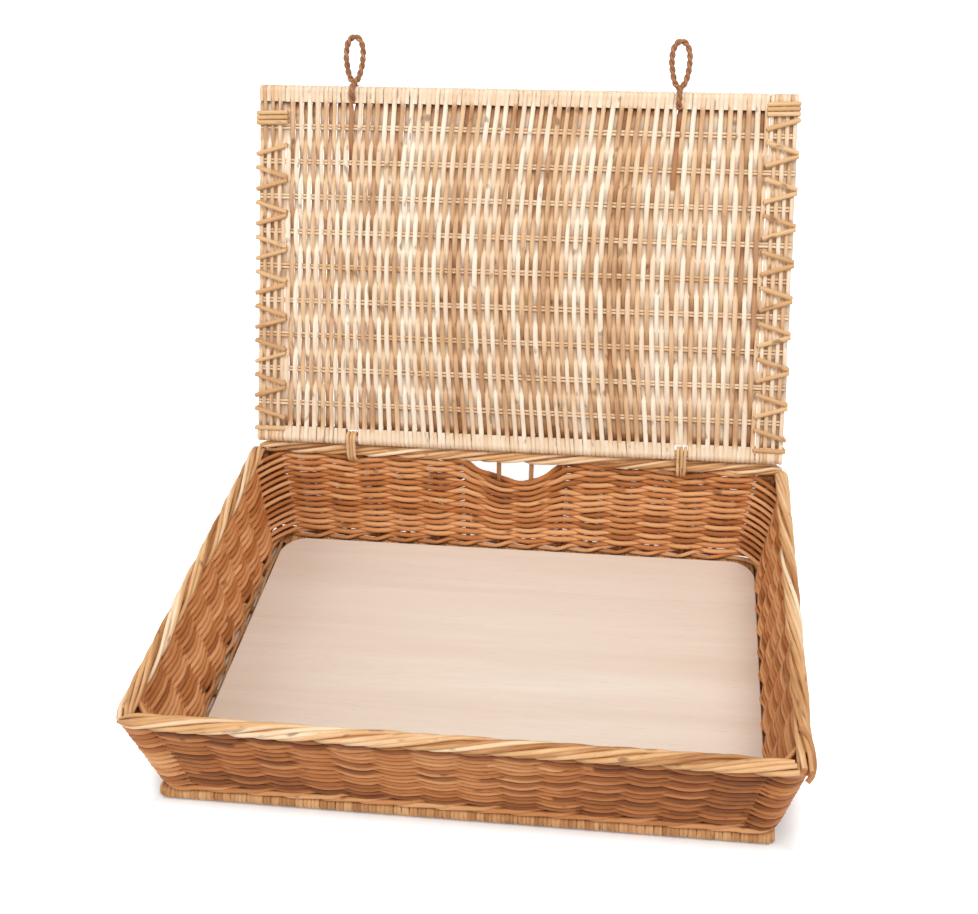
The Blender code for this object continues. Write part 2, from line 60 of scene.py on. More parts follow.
# %% Sizes that the solids share
corner_radius = 0.014
base_thickness = 0.012
foot_x, foot_y = 0.2583, 0.1613
border_x, border_y, border_z, border_radius = 0.2727, 0.1827, 0.1177, 0.0073
rim_half_length = 0.280
wall_foot, wale_top, wall_top = 0.0123, 0.0213, 0.1101
stake_end_distance = 0.0330
stake_counts = {"front": 14, "right": 9, "rear": 14, "left": 9}
stake_radius, post_radius = 0.0025, 0.0035
spread_x = (border_x / foot_x - 1) / (border_z - base_thickness)
spread_y = (border_y / foot_y - 1) / (border_z - base_thickness)
foot_shift = -0.0035
hinge_x, hinge_y, hinge_z = 0.1716, border_y, 0.1321
loop_places = {"left": -0.1745, "right": 0.1560}
lid_half, lid_reach, lid_lean = 0.2725, 0.358, math.radians(27.0)
sides = list(stake_counts)
corners = ("front_right", "rear_right", "rear_left", "front_left")
print("widening of the long way:", round(spread_x, 4), "of the short way:", round(spread_y, 4))

# %% [markdown]
# ## Chance, but the same each time
# Rods differ in thickness and colour and wander a little. One seeded source of chance keeps every
# run the same. `wander` gives slow waves: chance values a few steps apart, joined by a smooth curve.

# %% Chance helpers
rng = np.random.default_rng(27)


def wander(rows, count, knots):
    """Smooth chance from -1 to 1 along each row: chance knots, eased from one to the next."""
    values = rng.uniform(-1, 1, (rows, knots + 1))
    place = np.linspace(0, knots - 1e-6, count)
    low = place.astype(int)
    ease = (1 - np.cos(np.pi * (place - low))) / 2
    return values[:, low] * (1 - ease) + values[:, low + 1] * ease


def smooth_step(x, low, high):
    """Zero below low, one above high and an even S between them."""
    t = np.clip((x - low) / (high - low), 0, 1)
    return t * t * (3 - 2 * t)


# %% [markdown]
# ## The rod
# On the real basket a rod is a round stem that keeps its bark side smooth. A Blender curve with a
# bevel could draw it, but hundreds of curves are slow and can't carry a colour of their own for each
# rod. So a rod is a surface of two parameters: a ring of points, carried along a path. Each ring
# stands square to the path, and its two half sizes may change on the way, which flattens a rod where
# it wraps something. The surface keeps a length and a turn as its UV map, in which grain can follow
# the rod, and three numbers for each point: the rod's tone and seed, and how much painted shade it
# gets where it lies in a recess of the weave.

# %% The rod tool
end_map_radius = 0.002


def unit(vectors):
    """Vectors scaled to length one."""
    return vectors / np.maximum(np.linalg.norm(vectors, axis=-1, keepdims=True), 1e-12)


def rods(path, wide, deep, up, tone, around=8, closed=False, level=0.0, least_shade=0.0):
    """Surfaces of rods, given as rows of path points.

    A point is path + wide cos(a) side + deep sin(a) top, where side is square to the path and to the
    up direction, and top is square to both. Open rods get flat ends. In a woven sheet, level says how
    far to its side a rod has left the sheet's middle, from -1 to 1. The half of the rod that looks
    back at the middle, -level cos(a), is then its recess: the part that its neighbours shade, whose
    shade is painted into its colour. A least amount of this painted shade can be given for a whole
    rod, such as a stake that stands inside the weave.
    """
    path = np.asarray(path, float)
    if path.ndim == 2:
        path = path[None]
    rows, count = path.shape[:2]
    if closed:
        tangent = unit(np.roll(path, -1, 1) - np.roll(path, 1, 1))
    else:
        tangent = unit(np.gradient(path, axis=1))
    side = unit(np.cross(tangent, np.broadcast_to(up, path.shape)))
    top = np.cross(side, tangent)
    wide = np.broadcast_to(wide, (rows, count))[..., None, None]
    deep = np.broadcast_to(deep, (rows, count))[..., None, None]
    turn = 2 * np.pi * np.arange(around) / around
    ring = wide * np.cos(turn)[:, None] * side[:, :, None]
    ring = ring + deep * np.sin(turn)[:, None] * top[:, :, None]
    points = (path[:, :, None] + ring).reshape(-1, 3)

    steps = count if closed else count - 1
    row, step, spoke = np.meshgrid(np.arange(rows), np.arange(steps), np.arange(around), indexing="ij")
    after, beside = (step + 1) % count, (spoke + 1) % around

    def number(ring_number, spoke_number):
        """Number of a point: its ring's first number and its place on the ring."""
        return (row * count + ring_number) * around + spoke_number

    quads = np.stack([number(step, spoke), number(after, spoke), number(after, beside),
                      number(step, beside)], -1)
    spans = np.linalg.norm(np.diff(path, axis=1), axis=2)
    closing = np.linalg.norm(path[:, :1] - path[:, -1:], axis=2)
    length = np.concatenate([np.zeros((rows, 1)), np.cumsum(spans, 1)], 1)
    far = np.concatenate([length[:, 1:], length[:, -1:] + closing], 1)
    near_u, far_u = length[row, step], far[row, step]
    low_v, high_v = spoke / around, (spoke + 1) / around
    map_corners = ((near_u, low_v), (far_u, low_v), (far_u, high_v), (near_u, high_v))
    uv = np.stack([np.stack(pair, -1) for pair in map_corners], -2)
    faces = [quads.reshape(-1)]
    sizes = [np.full(quads.reshape(-1, 4).shape[0], 4)]
    maps = [uv.reshape(-1, 2)]
    if not closed:
        first = (np.arange(rows) * count * around)[:, None] + np.arange(around)
        last = first[:, ::-1] + (count - 1) * around
        disc = end_map_radius * np.stack([np.cos(turn), np.sin(turn)], -1)
        for caps in (first, last):
            faces.append(caps.reshape(-1))
            sizes.append(np.full(rows, around))
            maps.append(np.tile(disc, (rows, 1)))

    if np.ndim(tone):
        tone = np.asarray(tone, float).reshape(rows, -1)
    tone = np.broadcast_to(tone, (rows, count))
    seed = np.broadcast_to(rng.random((rows, 1)), (rows, count))
    # Painted shade: the recess half of each ring, and at least the given amount, is darkened in the willow
    # shader.
    recess_shade = np.clip(-np.broadcast_to(level, (rows, count))[..., None] * np.cos(turn), 0, 1)
    recess_shade = np.maximum(recess_shade, np.broadcast_to(least_shade, (rows, count))[..., None])
    return {
        "points": points, "faces": np.concatenate(faces), "sizes": np.concatenate(sizes),
        "uv": np.concatenate(maps), "tone": np.repeat(tone.reshape(-1), around),
        "seed": np.repeat(seed.reshape(-1), around), "recess_shade": recess_shade.reshape(-1),
    }


# %% From arrays to a piece of the scene
piece_triangles = []
sharp_angle = math.radians(60)


def piece(name, parts, material, body, *nodes):
    """Join rod surfaces in one mesh, hand it to Blender in whole arrays and let it ride on a body."""
    whole = {key: np.concatenate([part[key] for part in parts]) for key in parts[0]}
    counts = [len(part["points"]) for part in parts]
    firsts = np.cumsum(counts) - counts
    faces = np.concatenate([part["faces"] + first for part, first in zip(parts, firsts)])
    sizes = whole["sizes"]
    mesh = bpy.data.meshes.new(name)
    mesh.vertices.add(len(whole["points"]))
    mesh.vertices.foreach_set("co", whole["points"].astype(np.float32).reshape(-1))
    mesh.loops.add(len(faces))
    mesh.loops.foreach_set("vertex_index", faces.astype(np.int32))
    mesh.polygons.add(len(sizes))
    mesh.polygons.foreach_set("loop_start", (np.cumsum(sizes) - sizes).astype(np.int32))
    mesh.update(calc_edges=True)
    rod_map = mesh.uv_layers.new(name="along_rod")
    rod_map.data.foreach_set("uv", whole["uv"].astype(np.float32).reshape(-1))
    for value in ("tone", "seed", "recess_shade"):
        layer = mesh.attributes.new(value, "FLOAT", "POINT")
        layer.data.foreach_set("value", whole[value].astype(np.float32))
    mesh.shade_smooth()
    mesh.set_sharp_from_angle(angle=sharp_angle)
    mesh.materials.append(material)
    item = bpy.data.objects.new(name, mesh)
    bpy.context.scene.collection.objects.link(item)
    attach(item, body)
    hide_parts(*nodes)
    piece_triangles.append(int((sizes - 2).sum()))
    print(f"{name}: {piece_triangles[-1]} triangles")


# %% Smooth curves through points
def through(points, steps):
    """Catmull-Rom curve: each span blends its four nearest points with the cubic weights."""
    points = np.asarray(points, float)
    first = 2 * points[..., :1, :] - points[..., 1:2, :]
    last = 2 * points[..., -1:, :] - points[..., -2:-1, :]
    points = np.concatenate([first, points, last], -2)
    spans = points.shape[-2] - 3
    t = np.arange(spans * steps + 1) / steps
    span = np.minimum(t.astype(int), spans - 1)
    t = (t - span)[:, None]
    a, b, c, d = (points[..., span + shift, :] for shift in range(4))
    square, cube = 2 * a - 5 * b + 4 * c - d, 3 * b - a - 3 * c + d
    return 0.5 * (2 * b + (c - a) * t + square * t ** 2 + cube * t ** 3)


def drawn_out(values, steps):
    """Values at points, carried in straight steps to the points of the curve through them."""
    spans = len(values) - 1
    t = np.arange(spans * steps + 1) / steps
    low = np.minimum(t.astype(int), spans - 1)
    values = np.asarray(values, float)
    return values[low] * (1 - (t - low)) + values[low + 1] * (t - low)


def eased(place, knots, values):
    """Values at knots, joined by half cosines."""
    index = np.clip(np.searchsorted(knots, place, "right") - 1, 0, len(knots) - 2)
    knots, values = np.asarray(knots, float), np.asarray(values, float)
    share = (place - knots[index]) / (knots[index + 1] - knots[index])
    share = (1 - np.cos(np.pi * share)) / 2
    return values[index] * (1 - share) + values[index + 1] * share


# %% [markdown]
# ## Willow, in one node group
# Buff, white and brown willow differ in colour, not in kind. One shader group serves them all: three
# colours that the rod's own tone picks from, long streaks that follow the rod, pale and dark patches,
# small dark eyes where buds sat, and painted shade: a darker brown multiplied into the recesses of
# the weave, where the neighbouring rods shade it. It puts out a colour, a roughness and a height. The
# Principled shader stays in each material, where its own plain values can be read.

# %% Node helpers
def add(tree, kind, **settings):
    """Add a node and set its properties."""
    node = tree.nodes.new(kind)
    for key, value in settings.items():
        setattr(node, key, value)
    return node


def feed(tree, value, socket):
    """Join a socket to another one, or give it a plain value."""
    if isinstance(value, bpy.types.NodeSocket):
        tree.links.new(value, socket)
    else:
        socket.default_value = value


def math_node(tree, operation, first, second=0.0, clamp=False):
    """A Math node whose two inputs are sockets or numbers."""
    node = add(tree, "ShaderNodeMath", operation=operation, use_clamp=clamp)
    feed(tree, first, node.inputs[0])
    feed(tree, second, node.inputs[1])
    return node.outputs[0]


def swung(tree, value, size, middle=0.5):
    """A value's distance from its middle, times a size."""
    return math_node(tree, "MULTIPLY", math_node(tree, "SUBTRACT", value, middle), size)


def above(tree, value, threshold, slope):
    """How far a value lies above a threshold, times a slope, from zero to one."""
    over = math_node(tree, "SUBTRACT", value, threshold)
    return math_node(tree, "MULTIPLY", over, slope, clamp=True)


def mix_colours(tree, factor, first, second, blend="MIX"):
    """A Mix node for colours; its inputs 6 and 7 are the two colours."""
    node = add(tree, "ShaderNodeMix", data_type="RGBA", blend_type=blend)
    for number, value in ((0, factor), (6, first), (7, second)):
        feed(tree, value, node.inputs[number])
    return node.outputs[2]


def noise_at(tree, place, detail, roughness, distortion=0.0):
    """Noise read at a place, which alone sets how fine it is."""
    node = add(tree, "ShaderNodeTexNoise")
    for label, value in (("Vector", place), ("Scale", 1.0), ("Detail", detail), ("Roughness", roughness),
                         ("Distortion", distortion)):
        feed(tree, value, node.inputs[label])
    return node.outputs[0]


def split_up(tree, vector):
    """The three parts of a vector."""
    node = add(tree, "ShaderNodeSeparateXYZ")
    feed(tree, vector, node.inputs[0])
    return node.outputs


def new_material(name):
    """A material with its node tree and its Principled shader."""
    material = bpy.data.materials.new(name)
    material.use_nodes = True
    return material, material.node_tree, material.node_tree.nodes["Principled BSDF"]


def bump_into(tree, shader, height, strength, distance):
    """Turn the shader's normal by a height."""
    bump = add(tree, "ShaderNodeBump")
    for label, value in (("Strength", strength), ("Distance", distance), ("Height", height)):
        feed(tree, value, bump.inputs[label])
    feed(tree, bump.outputs[0], shader.inputs["Normal"])


def new_group(name, inputs, outputs):
    """An empty shader group with its sockets."""
    tree = bpy.data.node_groups.new(name, "ShaderNodeTree")
    for label, kind in inputs:
        tree.interface.new_socket(label, in_out="INPUT", socket_type=kind)
    for label, kind in outputs:
        tree.interface.new_socket(label, in_out="OUTPUT", socket_type=kind)
    return tree, tree.nodes.new("NodeGroupInput"), tree.nodes.new("NodeGroupOutput")


# %% The willow group
bud_brown = (0.12, 0.045, 0.018, 1.0)
# Brown of the painted shade that is multiplied into the recesses of the weave.
recess_shade_brown = (0.34, 0.21, 0.14, 1.0)
seed_spread = 97.0


def build_willow_group():
    """Colour by tone, streaks along the rod, slow patches, and bud eyes, all on the rod's own map, and
    painted shade in the recesses.
    """
    colour_kind, number_kind = "NodeSocketColor", "NodeSocketFloat"
    inputs = [(label, colour_kind) for label in ("Dark", "Middle", "Light")]
    inputs += [(label, number_kind) for label in ("Streaks", "Patches", "Eyes", "Roughness", "Recess shade")]
    outputs = (("Color", colour_kind), ("Roughness", number_kind), ("Height", number_kind))
    tree, given, out = new_group("willow", inputs, outputs)
    along_rod, round_rod = split_up(tree, add(tree, "ShaderNodeUVMap", uv_map="along_rod").outputs[0])[:2]
    tone, seed, recess_shade = (add(tree, "ShaderNodeAttribute", attribute_name=label).outputs["Fac"]
                          for label in ("tone", "seed", "recess_shade"))

    def pattern(along, across, detail, roughness):
        """Noise with so many grains to a metre and to a turn, different on each rod."""
        place = add(tree, "ShaderNodeCombineXYZ")
        for axis, (value, scale) in enumerate(((along_rod, along), (round_rod, across), (seed, seed_spread))):
            feed(tree, math_node(tree, "MULTIPLY", value, scale), place.inputs[axis])
        return noise_at(tree, place.outputs[0], detail, roughness)

    streaks = pattern(60.0, 9.0, 3.0, 0.6)
    patches = pattern(22.0, 1.5, 2.0, 0.5)
    fibres = pattern(260.0, 26.0, 2.0, 0.6)
    eyes = pattern(75.0, 2.0, 0.0, 0.5)
    shade = math_node(tree, "ADD", tone, swung(tree, patches, given.outputs["Patches"]))
    shade = math_node(tree, "ADD", shade, swung(tree, streaks, given.outputs["Streaks"]), clamp=True)
    low = math_node(tree, "MULTIPLY", shade, 2.0, clamp=True)
    high = math_node(tree, "SUBTRACT", math_node(tree, "MULTIPLY", shade, 2.0), 1.0, clamp=True)
    colour = mix_colours(tree, low, given.outputs["Dark"], given.outputs["Middle"])
    colour = mix_colours(tree, high, colour, given.outputs["Light"])
    eye = math_node(tree, "MULTIPLY", above(tree, eyes, 0.72, 9.0), given.outputs["Eyes"])
    colour = mix_colours(tree, eye, colour, bud_brown)
    # Painted shade: the recess is darkened towards a brown, scaled by each willow's own amount.
    recess_shade = math_node(tree, "MULTIPLY", recess_shade, given.outputs["Recess shade"], clamp=True)
    colour = mix_colours(tree, recess_shade, colour, recess_shade_brown, "MULTIPLY")
    rough = math_node(tree, "ADD", given.outputs["Roughness"], swung(tree, streaks, 0.25), clamp=True)
    height = math_node(tree, "ADD", math_node(tree, "MULTIPLY", fibres, 0.35),
                       math_node(tree, "MULTIPLY", patches, 0.65))
    for label, value in (("Color", colour), ("Roughness", rough), ("Height", height)):
        feed(tree, value, out.inputs[label])
    return tree


willow_group = build_willow_group()
print("nodes in the willow group:", len(willow_group.nodes))


# %% The willows of the basket
def willow(name, dark, middle, light, streaks=0.5, patches=0.4, recess_shade=1.0, shine=0.3):
    """A willow material: the group's colour, roughness and height on one Principled shader."""
    material, tree, shader = new_material(name)
    group = add(tree, "ShaderNodeGroup")
    group.node_tree = willow_group
    for label, value in (("Dark", dark), ("Middle", middle), ("Light", light)):
        group.inputs[label].default_value = (*value, 1.0)
    for label, value in (("Streaks", streaks), ("Patches", patches), ("Eyes", 0.6), ("Roughness", 0.5),
                         ("Recess shade", recess_shade)):
        group.inputs[label].default_value = value
    feed(tree, group.outputs["Color"], shader.inputs["Base Color"])
    feed(tree, group.outputs["Roughness"], shader.inputs["Roughness"])
    shader.inputs["Specular IOR Level"].default_value = shine
    bump_into(tree, shader, group.outputs["Height"], strength=0.5, distance=0.0006)
    return material


wall_willow = willow("wall_willow", (0.20, 0.058, 0.014), (0.52, 0.190, 0.056), (0.78, 0.40, 0.175),
                     patches=0.5, recess_shade=0.74, shine=0.2)
wale_willow = willow("wale_willow", (0.34, 0.115, 0.032), (0.60, 0.255, 0.090), (0.80, 0.45, 0.22), shine=0.2)
border_willow = willow("border_willow", (0.38, 0.150, 0.045), (0.73, 0.42, 0.190), (0.93, 0.74, 0.52),
                       patches=0.7)
lid_willow = willow("lid_willow", (0.42, 0.19, 0.08), (0.76, 0.50, 0.285), (0.93, 0.80, 0.635),
                    patches=0.45, recess_shade=0.72)
lid_rod_willow = willow("lid_rod_willow", (0.46, 0.22, 0.09), (0.77, 0.49, 0.27), (0.90, 0.70, 0.48))
lashing_willow = willow("lashing_willow", (0.46, 0.22, 0.09), (0.66, 0.38, 0.17), (0.84, 0.58, 0.33))
base_willow = willow("base_willow", (0.26, 0.10, 0.030), (0.50, 0.235, 0.085), (0.73, 0.43, 0.20),
                     patches=0.7)
stick_willow = willow("stick_willow", (0.16, 0.065, 0.028), (0.30, 0.135, 0.055), (0.45, 0.23, 0.10))
loop_willow = willow("loop_willow", (0.16, 0.055, 0.020), (0.36, 0.15, 0.062), (0.62, 0.34, 0.18),
                     streaks=1.0)
print("willows:", [item.name for item in bpy.data.materials if item.name.endswith("_willow")])

# %% [markdown]
# ## The line that the walls follow
# Stakes and corner posts are counted round the basket from the front left: a whole number on this
# count is a stake or a post, and a half is the middle of a bay. `wall_place` turns a count and a
# height into a point, so a rod that goes over and under is only a wave on the count.

# %% The walls' line
half_length = {name: (foot_x if name in ("front", "rear") else foot_y) - corner_radius for name in sides}
quarter = corner_radius * math.pi / 2
stops, starts, run = [], [], 0.0
for name in sides:
    starts.append(run)
    half = half_length[name]
    stops += list(run + half + np.linspace(-1, 1, stake_counts[name]) * (half - stake_end_distance))
    run += 2 * half + quarter
    stops.append(run - quarter / 2)
total_line, posts = run, len(stops)
starts.append(total_line)
corner_counts = np.cumsum([stake_counts[name] + 1 for name in sides]) - 1
print("line round the foot:", round(total_line, 4), "m, stakes and posts:", posts)


def foot_line(distance):
    """Point and outward direction on the rounded rectangle, at a distance from the front's start.

    Each side is straight and then turns a quarter circle; the sides follow at right angles.
    """
    distance = np.mod(distance, total_line)
    side = np.clip(np.searchsorted(starts, distance, "right") - 1, 0, 3)
    local = distance - np.array(starts)[side]
    half = np.array([half_length[name] for name in sides])[side]
    out = np.array([foot_y, foot_x, foot_y, foot_x])[side]
    angle = np.clip((local - 2 * half) / corner_radius, 0, math.pi / 2)
    along = np.minimum(local - half, half) + corner_radius * np.sin(angle)
    back = -(out - corner_radius) - corner_radius * np.cos(angle)
    turn = side * math.pi / 2
    cos, sin = np.cos(turn), np.sin(turn)
    point = np.stack([along * cos - back * sin, along * sin + back * cos], -1)
    outward_x = np.sin(angle) * cos + np.cos(angle) * sin
    outward_y = np.sin(angle) * sin - np.cos(angle) * cos
    return point, np.stack([outward_x, outward_y], -1)


def wall_place(count, height, outward=0.0):
    """Point at a count round the basket, a height, and a distance out of the wall's middle.

    The real basket stands a little askew: its foot lies some millimetres to the left of its rim.
    """
    turns = np.floor(count / posts)
    table = np.concatenate([[stops[-1] - total_line], stops, [stops[0] + total_line]])
    distance = np.interp(count - turns * posts, np.arange(-1, posts + 1), table)
    point, normal = foot_line(distance)
    rise = height - base_thickness
    spread = np.stack([1 + spread_x * rise, 1 + spread_y * rise], -1)
    flat = point * spread + normal * np.asarray(outward)[..., None]
    flat[..., 0] += foot_shift * np.clip(1 - rise / (border_z - base_thickness), 0, 1)
    return np.concatenate([flat, np.broadcast_to(height, count.shape)[..., None]], -1)


# %% [markdown]
# ## The weave of the walls
# The walls are randing, the plainest weave: one rod in front of a stake and behind the next, and the
# row above the other way round. Between two stakes all rows pass through the middle of the wall and
# lie tight, which makes the bright upright ridges. At a stake every second row stands out, and the
# dark gaps between those rows show the stake. So a row is a cosine of the count, with its sign
# changed from row to row.
#
# The rear wall has a hand slot, closed above by the border. Rows dip under it, and rows that have no
# room there turn back beside it. The front wall has the reverse: a lens of short extra rows. Both
# are given as half widths, in bays, of the rows that they concern.

# %% Rows of a wall
full_rows, rows_above_top = 27, 0.0040
wall_span = wall_top + rows_above_top - wale_top
front_middle = (stake_counts["front"] - 1) / 2
rear_middle = corner_counts[1] + 1 + (stake_counts["rear"] - 1) / 2
slot_depth, slot_half_width = 0.0228, 1.56
rows_beside_slot, slot_ease = {9: 2.3, 10: 2.3, 19: 1.8, 20: 1.8}, 0.45
rows_of_lens, lens_ease = {22: 3.4, 23: 2.9, 24: 2.9, 25: 3.4}, 0.7
hinge_dip, hinge_dip_width, bays_to_hinge = 0.0035, 0.35, 5.0


def row_heights(count):
    """Middle height, thickness and share of every row at each count, stacked from the wale upwards.

    Each row takes a share of the wall's height. A row that ends has its share eased to nothing, and
    the slot, a parabola, and the holes for the hinges take their depth off the height that is shared.
    """
    share = np.ones((full_rows + len(rows_of_lens), count.size))
    from_rear, from_front = np.abs(count - rear_middle), np.abs(count - front_middle)
    for row, reach in rows_of_lens.items():
        share[row] = 1 - smooth_step(from_front, reach - lens_ease, reach)
    for row, reach in rows_beside_slot.items():
        share[row] = smooth_step(from_rear, reach - slot_ease, reach + slot_ease)
    room = wall_span - slot_depth * np.clip(1 - (from_rear / slot_half_width) ** 2, 0, None)
    for hinge in (rear_middle - bays_to_hinge, rear_middle + bays_to_hinge):
        room = room - hinge_dip * np.exp(-((count - hinge) / hinge_dip_width) ** 2)
    thick = share * (room / share.sum(0))
    return wale_top + np.cumsum(thick, 0) - thick / 2, thick, share


per_bay = 10
ring_count = np.arange(-5, posts * per_bay - 4) / per_bay
heights, thicks, shares = row_heights(ring_count)
row_total = len(heights)
print("rows:", row_total, "points along a row:", ring_count.size)

# %% [markdown]
# ## Where a row is thick, proud, pale or dark
# The rods of a row fill its height in the ridges. At a stake the rod that stands out has room and
# swells, and the one that lies behind it shrinks from sight. The front wall lies in its own shade in
# the photograph, and its rods are less even. Round a corner post the rods stand out nearly twice as
# far, and those inside it run almost straight from one ridge to the next.

# %% Thickness, bow and tone along the rows
front_count = stake_counts["front"]
rod_bays = 11.0
row_sway, row_jitter, uneven_front = 0.0007, 0.00024, 1.6
thinnest_rod, thickest_rod, full_rod = 0.0003, 0.0023, 0.0016
stake_bow, post_bow, flatter_front = 0.0030, 0.0052, 0.0006
rod_depth, outer_extra_depth, corner_rod_depth = 0.0025, 0.0004, 0.0020


def rod_story(rows, count, bays_each):
    """Tone and taper along each row: rods follow one another, each from a thick butt to a thin tip."""
    start = rng.uniform(0, bays_each, (rows, 1))
    place = (count[None] + start) / bays_each
    rod = np.floor(place).astype(int) + 8
    table = rng.random((rows, rod.max() + 2))
    tone = np.take_along_axis(table, rod, 1)
    return tone, 1.05 - 0.09 * (place - np.floor(place))


tones, tapers = rod_story(row_total, ring_count, rod_bays)
on_front = smooth_step(ring_count, -1.2, -0.6)
on_front = on_front * (1 - smooth_step(ring_count, front_count - 0.4, front_count + 0.2))
sway = wander(1, ring_count.size, 70) * row_sway * np.sin(np.pi * (heights - wale_top) / wall_span)
jitter = wander(row_total, ring_count.size, 150) * row_jitter * (1 + uneven_front * on_front)
row_levels = heights + sway + jitter

swing = np.cos(np.pi * ring_count)
sign = np.where(np.arange(row_total) % 2, -1.0, 1.0)[:, None]
stake_number = np.round(ring_count).astype(int) % posts
is_post = np.isin(stake_number, corner_counts)
rear_post = np.isin(stake_number, corner_counts[1:3])
cuts_corner = is_post & (sign * swing < 0)
outside = (sign * swing > 0) * (1 - on_front)
open_share = smooth_step(np.abs(swing), 0.08, 0.62)
swell = np.where(cuts_corner, 0.20, 0.50 + 0.28 * outside + 0.10 * is_post + 0.30 * rear_post * outside)
radii = np.clip(thicks * 0.50 * tapers, thinnest_rod, thickest_rod)
tall = radii * (1.05 + swell * open_share)
wide = np.where(cuts_corner, corner_rod_depth, rod_depth + outer_extra_depth * outside)
wide = wide * np.clip(radii / full_rod, 0.2, 1.05)
bow = sign * swing * np.where(is_post, post_bow, stake_bow - flatter_front * on_front)
bow = bow * (1 + 0.06 * wander(row_total, ring_count.size, 100))

in_lens = np.isin(np.arange(row_total), list(rows_of_lens))[:, None] * on_front
front_shade = on_front * (0.44 - 0.28 * np.exp(-((ring_count - front_middle) / 3.4) ** 2))
tones = 0.15 + 0.70 * tones ** 1.2
tones = tones + 0.16 - 0.03 * np.abs(swing) + 0.06 * cuts_corner - front_shade + 0.25 * in_lens
tones = np.clip(tones, 0, 1)
# Level of each row for the painted recess shade: the side of the wall where it stands out, weaker on the
# front wall.
row_shade_level = sign * swing * (1 - 0.55 * on_front)


def across_corners(path, drawn=0.80):
    """Draw the rods that pass inside a corner post most of the way to the chord between its ridges."""
    nearest = np.round(ring_count)
    first, last = (wall_place(np.broadcast_to(nearest + shift, heights.shape), row_levels)
                   for shift in (-0.5, 0.5))
    share = (ring_count - nearest + 0.5)[None, :, None]
    chord = first * (1 - share) + last * share
    return np.where(cuts_corner[..., None], path + drawn * (chord - path), path)


ring_path = across_corners(wall_place(np.broadcast_to(ring_count, heights.shape), row_levels, bow))
print("half height of a rod:", round(float(radii.min()), 5), "to", round(float(radii.max()), 5))


# %% Pieces of the weave
def weave_piece(name, first, last, node):
    """The stretch of all rows between two counts, as one piece. Rows end where they have no share."""
    inside = (ring_count >= first - 1e-6) & (ring_count <= last + 1e-6)
    parts = []
    for row in range(row_total):
        here = inside & (shares[row] > 0.12)
        edges = np.flatnonzero(np.diff(np.concatenate([[0], here.astype(int), [0]])))
        for low, high in zip(edges[::2], edges[1::2]):
            if high - low > 3:
                cut = np.s_[row:row + 1, low:high]
                parts.append(rods(ring_path[cut], wide[cut], tall[cut], (0, 0, 1), tones[cut],
                                  level=row_shade_level[cut]))
    piece(name, parts, wall_willow, "basket", node)


low = -0.5
for name, corner in zip(sides, corners):
    high = low + stake_counts[name]
    weave_piece(f"{name}_wall_rods", low, high, f"{name}_weave")
    weave_piece(f"corner_{corner}_rods", high, high + 1, f"corner_weave_{corner}")
    low = high + 1

# %% [markdown]
# ## The upsett
# Under the randing runs a wale: three rods worked in turn, each in front of two stakes and behind
# one. It locks the stakes upright, and its long slanting strokes show at the foot of the walls. A rod
# comes out low, is laid over the two others and goes in high, so the rods are three copies of one
# path that repeats after three bays, each a bay behind the last.

# %% The wale
wale_start = 44.5
wale_depth, wale_tall, wale_clearance = 0.0021, 0.0023, 0.0013
wale_rise, wale_unevenness = 0.0026, 0.0002


def build_wale():
    """One round of three rods: out of the wall for two bays while it rises, inside for one as it sinks."""
    count = np.arange(0, (posts + 1) * per_bay + 1) / per_bay + wale_start
    near_post = np.isin(np.round(count).astype(int) % posts, corner_counts)
    parts = []
    for rod in range(3):
        step = np.mod(count + rod + 0.5, 3.0)
        out = eased(step, (0, 0.5, 1.5, 2, 2.5, 3), (0, 1, 1, 0, -1, 0))
        rise = eased(step, (0, 2, 3), (-1, 1, -1))
        tall = wale_tall * (1 + 0.07 * wander(1, count.size, 60)[0])
        bow = out * (np.where(near_post, post_radius, stake_radius) + wale_clearance)
        height = (wall_foot + wale_top) / 2 + wale_rise * rise
        height = height + wale_unevenness * wander(1, count.size, 50)[0]
        tone = 0.56 + 0.30 * wander(1, count.size, 14)
        # The level paints recess shade on the side of each wale rod that faces the wall's middle.
        parts.append(rods(wall_place(count, height, bow), wale_depth, tall, (0, 0, 1), tone, around=10,
                          level=out * 0.8))
    piece("upsett_wale_rods", parts, wale_willow, "basket", "upsett_wale")


build_wale()

# %% [markdown]
# ## Stakes and the rod border
# A stake is a rod that stands in the weave and is bent over at the top. It then travels to the right
# along the rim: out of the wall, over the top and down the inside, passing its neighbours on the way,
# until it tucks under. So the border is a bundle in which every rod turns slowly about the rim's
# line. A new one joins at each stake, and a second one half a bay on at every other stake, because
# the photograph shows that many. Each is a helix that starts near the middle, swings out and shrinks
# back at its end. The front and rear lengths close with round ends, and the short ones dive under
# them. At the front right corner one rod's end curls down.

# %% The border's own sizes
sweep_bays = 4.4
border_points = 40
butt_radius, tip_thinner, core_radius = 0.00225, 0.0005, 0.0038
long_end_room, short_end_room, side_clearance = 0.0065, -0.0070, 0.0006
round_end, end_dive, dive_length, end_chance = 0.016, 0.0060, 0.004, 0.003
fan_room, fan_step = 0.0045, 0.0150
core_left_gap, core_right_gap = 0.012, 0.020
stake_points, stake_top, weave_fades = 12, border_z - 0.002, (0.085, 0.095)
curl_radius = 0.0023
curl_points = np.array([
    (0.2700, -0.150, 0.1250), (0.2762, -0.160, 0.1240), (0.2790, -0.174, 0.1170),
    (0.2778, -0.182, 0.1110), (0.2740, -0.1865, 0.1075),
])


def side_point(side, along, outward, height):
    """Point given by its place along a side, its distance out from the basket's middle, and its height."""
    turn = sides.index(side) * math.pi / 2
    cos, sin = math.cos(turn), math.sin(turn)
    return np.stack([along * cos + outward * sin, along * sin - outward * cos, height], -1)


def rounded_end(distance):
    """Share of the border's radius at a distance from its end: a quarter circle, but never under a third."""
    return np.sqrt(np.clip(1 - (1 - np.clip(distance / round_end, 0, 1)) ** 2, 0.12, 1))


